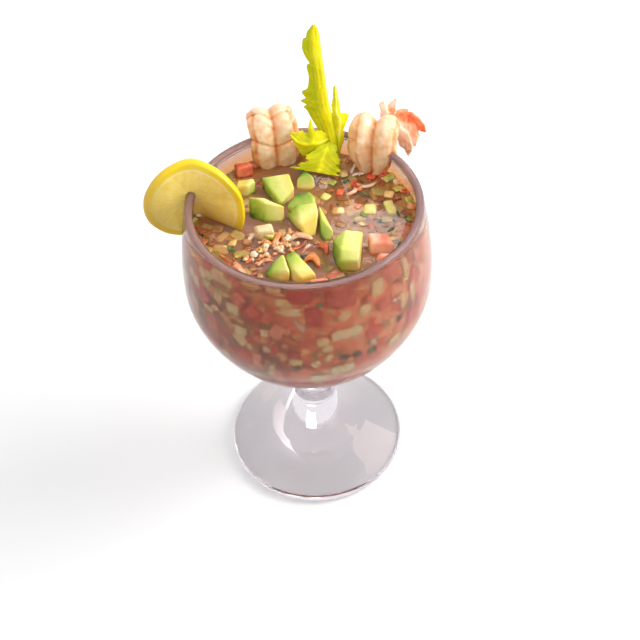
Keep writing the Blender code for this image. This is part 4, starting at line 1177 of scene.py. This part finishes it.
# What is seen through the bowl: kind, pixel, depth behind the wall, width and height, shade
IN_BOWL = [
    ("tomato", 342, 298, 0.8, 12, 11, 0.75), ("tomato", 314, 317, 1.5, 8, 10, 0.95),
    ("onion", 291, 312, 1.0, 10, 5, 0.25), ("onion", 343, 334, 0.8, 12, 7, 0.2),
    ("onion", 323, 342, 1.2, 6, 6, 0.4), ("cucumber", 241, 330, 1.0, 7, 6, 0.3),
    ("cucumber", 233, 308, 1.0, 7, 6, 0.3), ("onion", 195, 299, 1.0, 8, 4, 0.4),
    ("onion", 209, 308, 1.0, 7, 4, 0.4), ("cucumber", 343, 368, 0.8, 12, 7, 0.2),
    ("cucumber", 320, 377, 0.8, 10, 6, 0.2), ("leaf", 345, 357, 0.6, 7, 5, 0.1),
    ("leaf", 357, 354, 0.6, 6, 5, 0.3),
    ("leaf", 372, 350, 0.8, 7, 6, 0.7), ("leaf", 298, 368, 1.0, 6, 4, 0.1),
    ("tomato", 294, 355, 1.0, 6, 5, 1.0), ("shred", 292, 342, 1.0, 10, 5, 0.8),
    ("onion", 394, 339, 0.8, 8, 6, 0.3), ("onion", 365, 309, 0.8, 7, 6, 0.3),
    ("onion", 377, 290, 0.8, 7, 7, 0.4), ("onion", 405, 268, 0.8, 4, 10, 0.3),
    ("onion", 412, 290, 0.8, 4, 12, 0.3), ("tomato", 340, 297, 0.6, 13, 10, 0.7),
    ("onion", 250, 284, 0.8, 9, 4, 0.6), ("onion", 273, 289, 0.8, 7, 4, 0.55),
    ("leaf", 283, 290, 0.6, 4, 4, 0.5), ("onion", 284, 303, 1.2, 9, 5, 0.6),
    ("tomato", 300, 296, 1.5, 12, 8, 0.95), ("shred", 362, 292, 0.8, 9, 4, 0.7),
    ("onion", 377, 283, 0.8, 7, 5, 0.35), ("cucumber", 226, 281, 1.0, 8, 5, 0.5),
    ("tomato", 320, 287, 1.6, 9, 6, 0.5), ("shred", 393, 276, 0.8, 8, 5, 0.6),
    ("onion", 402, 300, 0.8, 4, 9, 0.4), ("cucumber", 404, 278, 0.8, 5, 5, 0.8),
    ("cucumber", 207, 283, 1.0, 6, 5, 0.8)]
IN_BOWL_THICK = 3.0     # how thick those are
# How many more there are of each kind, under the glass and on the surface, then smallest
# and largest size in mm, palest and darkest shade
KINDS = {
    "tomato": (120, 14, 4.5, 9.5, 0.1, 0.9), "onion": (90, 48, 2.5, 6.5, 0.0, 0.9),
    "cucumber": (40, 30, 3.0, 6.5, 0.1, 0.7), "leaf": (50, 30, 2.5, 5.0, 0.0, 1.0),
    "shred": (60, 40, 3.0, 6.5, 0.2, 1.0), "crumb": (34, 30, 2.5, 4.5, 0.4, 1.0)}
# Pieces at the wall where the surface meets it, all round
EDGE_KINDS = ["tomato", "onion", "shred", "crumb", "cucumber", "leaf"]
EDGE_COUNT = 110
# Clumps of shrimp crumbs on the surface: pixel, reach and height in mm, pieces
CLUMPS = [(289, 241, 9.0, 3.0, 34), (258, 255, 7.0, 1.5, 16), (372, 172, 8.0, 2.0, 14),
          (268, 246, 7.0, 2.2, 18)]
CLUMP_KINDS = ["crumb", "crumb", "crumb", "crumb", "shred"]
# How much darker pale pieces are on the surface. Under the glass the same kinds are made paler
# instead, as painted light
DARKER_ON_SURFACE = {"onion": 0.33, "cucumber": 0.15, "crumb": 0.1}
SCATTER_SEED = 11
TRIES = 40              # how often a place is sought for a piece


def seen_on_surface():
    """The pieces made out on the surface. Like the others below it gives a piece's kind,
    point, scale, turn and shade."""
    for kind, px, py, long, wide, rise, shade in ON_SURFACE:
        x, y = on_level(px, py, LEVEL + rise)
        high = 0.35 * wide if kind in ("leaf", "shred") else 0.8 * wide
        if math.hypot(x, y) + wide / 2 < inner_radius(LEVEL):
            yield (kind, (x, y, LEVEL + rise - high / 2), scaled(kind, long, wide, high),
                   any_turn(0.25), shade + DARKER_ON_SURFACE.get(kind, 0.0))


def seen_in_bowl():
    """The pieces made out through the glass, flat against the wall."""
    for kind, px, py, deep, wide, high, shade in IN_BOWL:
        spot = in_bowl(px, py, deep + 1.0)
        # Pale kinds are made paler here, as painted light that makes up for the dim light under the
        # glass
        yield (kind, spot, scaled(kind, wide, high, IN_BOWL_THICK), wall_turn(*spot, 0.0),
               shade * (0.5 if kind in DARKER_ON_SURFACE else 1.0))


def clumped():
    """Crumbs and shreds heaped on the surface."""
    for px, py, reach, heap, count in CLUMPS:
        x, y = on_level(px, py)
        for _ in range(count):
            kind = random.choice(CLUMP_KINDS)
            a, far = random.uniform(0, 2 * math.pi), math.sqrt(random.random())
            size = random.uniform(1.8, 3.8)
            z = LEVEL - 0.8 + heap * (1 - far) * random.random()
            yield (kind, (x + reach * far * math.cos(a), y + reach * far * math.sin(a), z),
                   scaled(kind, size * 1.3, size, size * 0.8), any_turn(),
                   random.uniform(0.42, 0.85))


def along_edge():
    """Pieces round the edge of the surface, except where it is heaped up the wall."""
    for number in range(EDGE_COUNT):
        kind = EDGE_KINDS[number % len(EDGE_KINDS)]
        a = 2 * math.pi * (number + random.random()) / EDGE_COUNT
        size = random.uniform(3.0, 6.5)
        z = LEVEL + random.uniform(-2.5, 0.8)
        r = inner_radius(z) - 0.5 * size
        x, y = r * math.cos(a), r * math.sin(a)
        if climb(x, y) <= 3:
            yield (kind, (x, y, z),
                   scaled(kind, size * random.uniform(1, 1.6), 0.8 * size, 0.6 * size),
                   any_turn(0.5), random.uniform(0.2, 0.9))


def one_try(deep, least, most):
    """A random place for a piece of a size from least to most, its distance from the axis,
    and its length, width and thickness."""
    size = random.uniform(least, most)
    long, thick = size * random.uniform(1, 1.5), size * random.uniform(0.5, 0.9)
    a = random.uniform(0, 2 * math.pi)
    if deep:
        # Flat against the wall, up to the top of the heap there
        low = BOTTOM_Z + FLOOR + 3
        high = LEVEL - 2 + climb(50 * math.cos(a), 50 * math.sin(a))
        z = low + (high - low) * random.random() ** 0.85
        thick *= 0.7
        r = inner_radius(z, random.uniform(0.4, 2.2)) - thick / 2
    else:
        # A flat slice that breaks the surface or lies just under it
        long, thick = size * random.uniform(1, 2), size * random.uniform(0.3, 0.5)
        r = (inner_radius(LEVEL) - size / 2) * math.sqrt(random.random())
        z = LEVEL - thick / 2 + random.uniform(-1.3, 0.0)
    return (r * math.cos(a), r * math.sin(a), z), r, long, size, thick


def has_room(spot, size, placed, taken):
    """Whether a piece here keeps off the ones placed, as (x, y, z, size), and off the ones
    that stand in the surface, as (x, y, radius)."""
    if any(math.hypot(spot[0] - x, spot[1] - y) < r + size * 0.4 for x, y, r in taken):
        return False
    rows = np.array(placed)
    apart = np.linalg.norm(rows[:, :3] - spot, axis=1)
    return bool(np.all(apart > (rows[:, 3] + size) * 0.4))


def filled_in(placed):
    """The rest of the pieces, each where there is room for it."""
    standing = taken_spots()
    for kind, (deep_ones, top_ones, least, most, low, high) in KINDS.items():
        for number in range(deep_ones + top_ones):
            deep = number < deep_ones
            for _ in range(TRIES):
                spot, r, long, size, thick = one_try(deep, least, most)
                if r > 2 and has_room(spot, size, placed, [] if deep else standing):
                    turn = wall_turn(*spot, 0.3) if deep else any_turn(0.25)
                    shade = random.uniform(low, high)
                    # Deep pieces of pale kinds are made paler, as painted light under the glass; on
                    # the surface they are darker
                    if deep:
                        shade *= 0.4 if kind in DARKER_ON_SURFACE else 1.0
                    else:
                        shade += DARKER_ON_SURFACE.get(kind, 0.0)
                    yield kind, spot, scaled(kind, long, size, thick), turn, shade
                    break


def spread():
    """Places of all small pieces, by kind: the ones seen, then a random fill."""
    random.seed(SCATTER_SEED)
    found = {kind: [] for kind in KINDS}
    placed = []
    for group in (seen_on_surface(), seen_in_bowl(), clumped(), along_edge(),
                  filled_in(placed)):
        for kind, spot, size, turn, shade in group:
            found[kind].append((tuple(spot), size, turn, shade))
            placed.append((*spot, sum(size) / 3))
    return found


def scaled(kind, long, wide, high):
    """The scale that gives a kind's model this length, width and height in millimetres."""
    if kind == "leaf":
        return long, wide, 0.8 * max(long, wide)
    if kind == "shred":
        return long / SHRED_LONG, 0.9 * wide, 0.8 * wide
    return long, wide, high


# Diced kinds: first seed, height to width, how uneven
DICE = {"tomato": (0, 0.9, 0.09), "onion": (5, 0.6, 0.06), "cucumber": (9, 0.8, 0.05)}
# Each kind's piece and material, its colours from pale to dark, the grains of its colour and
# of its relief in mm, how wet it is, and how much light goes into it
SMALL_LOOKS = {
    "tomato": ("diced_tomato", "ripe_tomato",
               [(0.0, "fab494"), (0.35, "f68e68"), (0.7, "ec5c3c"), (1.0, "d03a28")],
               3.0, 0.8, 0.6, 0.35),
    "onion": ("diced_onion", "raw_onion",
              [(0.0, "fff4cc"), (0.3, "fae0a0"), (0.55, "f2cb80"), (1.0, "b88048")],
              4.0, 0.9, 0.2, 0.15),
    "cucumber": ("diced_cucumber", "cucumber",
                 [(0.0, "faf4c8"), (0.35, "ecdc88"), (0.7, "c8c45c"), (1.0, "80903c")],
                 3.0, 0.8, 0.4, 0.15),
    "leaf": ("chopped_coriander", "coriander_leaf",
             [(0.0, "1f4a2a"), (0.5, "356a2c"), (1.0, "7fa43a")], 2.0, 0.6, 0.4, 0.1),
    "shred": ("shreds", "shrimp_and_carrot_shreds",
              [(0.0, "f3e3cf"), (0.35, "eebd98"), (0.7, "e68a3e"), (1.0, "c94e1c")],
              2.5, 0.7, 0.6, 0.35),
    "crumb": ("shrimp_crumbs", "shrimp_crumbs",
              [(0.0, "f6ecd8"), (0.4, "f0d0a8"), (0.7, "dd9858"), (1.0, "b4622e")],
              2.0, 0.6, 0.6, 0.3)}


def make_small_pieces():
    """All small pieces of the cocktail, one mesh for each kind."""
    found = spread()
    models = {kind: [dice_model(kind + "_bit", first + k, high, rough) for k in range(3)]
              for kind, (first, high, rough) in DICE.items()}
    models["leaf"] = [flake_model("leaf_bit", k) for k in range(4)]
    models["shred"] = [shred_model("shred_bit", k) for k in range(4)]
    models["crumb"] = [crumb_model("crumb_bit", k) for k in range(3)]
    for kind, (name, food, stops, grain, fine, wet, under) in SMALL_LOOKS.items():
        look = flesh_material(food, stops, grain, fine, wet=wet, under=under)
        scatter(name, models[kind], found[kind], look, "cocktail_mix", "cocktail")


# ---------------------------------------------------------------- cubes that stand clear

# Avocado: which way its green skin side faces, and how far the green goes in, in mm. Faces turned
# that way are darker, partly the skin's green and partly painted shade, as most face away from the
# light
AVOCADO = {
    "avocado_1": ((1.0, -0.2, -0.5), 10.0), "avocado_2": ((-1.0, -0.3, -0.2), 17.0),
    "avocado_3": ((-0.75, -0.65, 0.0), 14.0), "avocado_4": ((-0.2, 0.5, 1.0), 12.0),
    "avocado_5": ((-0.3, 0.3, 0.9), 18.0), "avocado_6": ((-0.6, 0.8, 0.3), 16.0),
    "avocado_7": ((-0.8, -0.3, 0.2), 10.0), "avocado_8": ((-0.8, 0.2, 0.4), 12.0),
    "avocado_9": ((-0.4, 0.7, 0.5), 17.0), "avocado_10": ((-1.0, -0.1, -0.1), 19.0)}
GREENEST_AND_MOST_SHADED = "avocado_3"
# How dark the other cubes are
CUBE_SHADES = {"tomato_1": 0.34, "tomato_2": 0.66, "onion_1": 0.34}
CUBES = [*AVOCADO, *CUBE_SHADES]


def make_cube(name, material, slot):
    """A cut cube in the solid's own form, with softened edges and an uneven cut."""
    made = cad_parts[name].copy()
    made.data = made.data.copy()
    made.name = made.data.name = name + "_flesh"
    for key in list(made.keys()):
        del made[key]
    made.parent = None
    made.hide_render = made.hide_viewport = False
    bpy.context.scene.collection.objects.link(made)
    close_up(made)
    modify(made, "REMESH", mode="VOXEL", voxel_size=0.3 * MM)
    modify(made, "SMOOTH", factor=0.5, iterations=2)
    spots = points_of(made)
    seed = len(name) + ord(name[-1])
    for spot in spots:
        spot += 0.25 * np.array([wavy(spot, 7.0, seed + k) for k in range(3)])
        spot += 0.06 * np.array([wavy(spot, 1.6, seed + 5 + k) for k in range(3)])
    set_points(made, spots)
    if name in AVOCADO:
        skin, reach = AVOCADO[name]
        skin = np.array(skin) / np.linalg.norm(skin)
        facing = np.array([vertex.normal for vertex in made.data.vertices]) @ skin
        deep = (spots @ skin).max() - spots @ skin
        # Faces turned to the skin side are darker: partly green flesh, partly painted shade
        green_and_shade = 0.2 if name == GREENEST_AND_MOST_SHADED else 0.1
        store(made, "shade", deep / reach + 0.12 - np.clip(facing, 0, 1) * green_and_shade)
    else:
        store(made, "shade", [CUBE_SHADES[name] + 0.3 * wavy(spot, 6.0, 3.0)
                              for spot in spots])
    finish(made, material, slot, name)


def make_cubes():
    """Avocado, tomato and onion that stand clear of the broth."""
    looks = {
        "avocado": flesh_material(
            "ripe_avocado",
            [(0.0, "4c6a1c"), (0.1, "6f9228"), (0.24, "a3bd44"), (0.45, "cbd466"),
             (0.75, "e6e08a"), (1.0, "ecd468")],
            4.0, 0.9, rough=0.45, wet=0.2, under=0.4, under_mm=3.0, blend=0.86),
        "tomato": flesh_material(
            "cut_tomato",
            [(0.0, "fbccb0"), (0.35, "f6a888"), (0.65, "e87450"), (1.0, "d04c2c")],
            4.0, 0.8, wet=0.5, under=0.4, blend=0.7),
        "onion": flesh_material(
            "white_onion", [(0.0, "ecdcb4"), (0.5, "dcc492"), (1.0, "c4a068")],
            4.0, 0.9, wet=0.5, under=0.5)}
    for name in CUBES:
        food = name.split("_")[0]
        make_cube(name, looks[food], food + "_flesh")


# ---------------------------------------------------------------- stage


# The soft square lights: place and side in metres, share of the key light's power. The key
# light stands high at the right, the front one looks into the bowl, and the sheen one shows
# on the broth
LIGHTS = {"key": ((0.95, 0.15, 0.85), 0.8, 1.0), "fill": ((-0.9, -0.6, 0.9), 1.2, 0.08),
          "front": ((1.0, -0.75, 0.32), 0.9, 0.26), "sheen": ((0.08, 0.78, 0.84), 0.16, 0.03)}
LIT = Vector((0, 0, 0.15))              # what they point at


def make_stage(settings):
    """A pale floor, a soft white surround, the lights and the photograph's camera."""
    scene = bpy.context.scene
    scene.view_settings.view_transform = "Standard"
    # Light runs a long way inside the wall of a glass before it comes out
    scene.cycles.max_bounces = 32
    scene.cycles.transmission_bounces = 32
    scene.cycles.glossy_bounces = 16
    scene.cycles.diffuse_bounces = 10
    bpy.ops.object.select_all(action="DESELECT")
    bpy.ops.mesh.primitive_plane_add(size=6.0, location=(0, 0, -0.05 * MM))
    floor = bpy.context.active_object
    floor.name = "floor"
    made, tree, shader = new_material("matt_white_paper", Roughness=0.9,
                                      Specular_IOR_Level=0.1)
    shader.inputs["Base Color"].default_value = linear("e8e8e8")
    floor.data.materials.append(made)
    world = bpy.data.worlds.new("soft_surround")
    scene.world = world
    world.use_nodes = True
    tree = world.node_tree
    spot = add_node(tree, "ShaderNodeTexCoord").outputs["Generated"]
    high = add_node(tree, "ShaderNodeSeparateXYZ", {0: spot}).outputs[2]
    sky = add_node(tree, "ShaderNodeValToRGB", {"Fac": high},
                   [(0.0, "f4f0f2"), (0.15, "f4f1f3"), (0.45, "fbfafa"), (1.0, "ffffff")])
    backdrop = tree.nodes["Background"]
    tree.links.new(sky.outputs[0], backdrop.inputs[0])
    backdrop.inputs[1].default_value = settings.surround
    for name, (place, size, share) in LIGHTS.items():
        data = bpy.data.lights.new(name, "AREA")
        data.size = size
        data.energy = settings.key_light * share
        lamp = bpy.data.objects.new(name, data)
        scene.collection.objects.link(lamp)
        lamp.location = place
        lamp.rotation_euler = (LIT - Vector(place)).to_track_quat("-Z", "Y").to_euler()
    data = bpy.data.cameras.new("camera")
    data.lens = PHOTO_FOCAL / PHOTO_SIZE * data.sensor_width
    camera = bpy.data.objects.new("camera", data)
    right, up, ahead = camera_axes()
    turn = Matrix((right, up, -ahead)).transposed().to_4x4()
    camera.matrix_world = Matrix.Translation(Vector(CAMERA_AT) * MM) @ turn
    scene.collection.objects.link(camera)
    scene.camera = camera


# ---------------------------------------------------------------- properties and operators


def colour_of(text):
    """An sRGB hex colour as a linear RGB default of a property."""
    return linear(text)[:3]


class GlassSettings(bpy.types.PropertyGroup):
    """What a user may change about the goblet's glass."""
    tint: FloatVectorProperty(
        name="Tint", description="Colour of the glass where it is thick", subtype="COLOR",
        min=0.0, max=1.0, default=colour_of("d8c8d6"))
    tint_strength: FloatProperty(
        name="Tint strength", description="How fast the tint builds up, per metre",
        default=5.5, min=0.0)


class BrothSettings(bpy.types.PropertyGroup):
    """What a user may change about the broth."""
    clearness: FloatProperty(
        name="Clearness", description="How much light passes, rather than being scattered",
        default=0.985, min=0.5, max=1.0, subtype="FACTOR")
    film_clearness: FloatProperty(
        name="Film clearness", description="How clear the film on the wall is",
        default=0.91, min=0.5, max=1.0, subtype="FACTOR")
    depth_colour: FloatVectorProperty(
        name="Depth colour", description="Colour that light takes on in the broth",
        subtype="COLOR", min=0.0, max=1.0, default=colour_of("f2a444"))
    depth: FloatProperty(
        name="Depth", description="How fast that colour builds up, per metre",
        default=55.0, min=0.0)
    core_depth: FloatProperty(
        name="Core depth", description="How far the thick middle lies behind the wall",
        default=2.8 * MM, min=1 * MM, max=20 * MM, subtype="DISTANCE", unit="LENGTH")


class LightSettings(bpy.types.PropertyGroup):
    """What a user may change about the light."""
    key_light: FloatProperty(name="Key light", description="Power of the main light, in watts",
                             default=15.0, min=0.0)
    surround: FloatProperty(name="Surround", description="Brightness of the soft surround",
                            default=1.0, min=0.0)


class PieceOperator(bpy.types.Operator):
    """Shared by the operators below: each makes one piece or group of the cocktail."""
    bl_options = {"REGISTER", "UNDO"}


class COCKTAIL_OT_goblet(PieceOperator):
    """Make the glass goblet"""
    bl_idname = "cocktail.goblet"
    bl_label = "Goblet"

    def execute(self, context):
        make_goblet(context.scene.cocktail_glass)
        make_rim_cast()
        return {"FINISHED"}


class COCKTAIL_OT_broth(PieceOperator):
    """Make the broth and the thick middle under it"""
    bl_idname = "cocktail.broth"
    bl_label = "Broth"

    def execute(self, context):
        make_broth(context.scene.cocktail_broth)
        make_cloudy_layer()
        make_film(context.scene.cocktail_broth)
        make_core(context.scene.cocktail_broth)
        return {"FINISHED"}


class COCKTAIL_OT_small_pieces(PieceOperator):
    """Scatter the diced vegetables, leaves and shreds"""
    bl_idname = "cocktail.small_pieces"
    bl_label = "Diced vegetables"

    def execute(self, context):
        make_small_pieces()
        return {"FINISHED"}


class COCKTAIL_OT_cubes(PieceOperator):
    """Make the cubes of avocado, tomato and onion that stand clear"""
    bl_idname = "cocktail.cubes"
    bl_label = "Cubes"

    def execute(self, context):
        make_cubes()
        return {"FINISHED"}


class COCKTAIL_OT_lemon(PieceOperator):
    """Make the lemon slice on the rim"""
    bl_idname = "cocktail.lemon"
    bl_label = "Lemon slice"

    def execute(self, context):
        make_lemon()
        return {"FINISHED"}


class COCKTAIL_OT_shrimps(PieceOperator):
    """Make the two shrimps bent over the rim"""
    bl_idname = "cocktail.shrimps"
    bl_label = "Shrimps"

    def execute(self, context):
        make_shrimps()
        return {"FINISHED"}


class COCKTAIL_OT_celery(PieceOperator):
    """Make the celery heart leaf"""
    bl_idname = "cocktail.celery"
    bl_label = "Celery"

    def execute(self, context):
        make_celery()
        return {"FINISHED"}


class COCKTAIL_OT_stage(PieceOperator):
    """Make the floor, the lights and the camera"""
    bl_idname = "cocktail.stage"
    bl_label = "Stage"

    def execute(self, context):
        make_stage(context.scene.cocktail_light)
        return {"FINISHED"}


OPERATORS = (COCKTAIL_OT_goblet, COCKTAIL_OT_broth, COCKTAIL_OT_small_pieces,
             COCKTAIL_OT_cubes, COCKTAIL_OT_lemon, COCKTAIL_OT_shrimps, COCKTAIL_OT_celery,
             COCKTAIL_OT_stage)
GROUPS = {"cocktail_glass": GlassSettings, "cocktail_broth": BrothSettings,
          "cocktail_light": LightSettings}


class COCKTAIL_PT_panel(bpy.types.Panel):
    """The settings and the operators, in the sidebar of the 3D view"""
    bl_idname = "COCKTAIL_PT_panel"
    bl_label = "Shrimp cocktail"
    bl_space_type = "VIEW_3D"
    bl_region_type = "UI"
    bl_category = "Cocktail"

    def draw(self, context):
        for group, kind in GROUPS.items():
            for name in kind.__annotations__:
                self.layout.prop(getattr(context.scene, group), name)
        for operator in OPERATORS:
            self.layout.operator(operator.bl_idname)


CLASSES = (*GROUPS.values(), *OPERATORS, COCKTAIL_PT_panel)


def register():
    """Registers the classes and the settings kept on the scene."""
    for kind in CLASSES:
        bpy.utils.register_class(kind)
    for name, kind in GROUPS.items():
        setattr(bpy.types.Scene, name, PointerProperty(type=kind))


def unregister():
    """Takes back what register added."""
    for name in GROUPS:
        delattr(bpy.types.Scene, name)
    for kind in reversed(CLASSES):
        bpy.utils.unregister_class(kind)


def main():
    """Builds every piece in order."""
    register()
    for operator in OPERATORS:
        family, name = operator.bl_idname.split(".")
        getattr(getattr(bpy.ops, family), name)()
    bpy.context.view_layer.update()


if __name__ == "__main__":
    main()
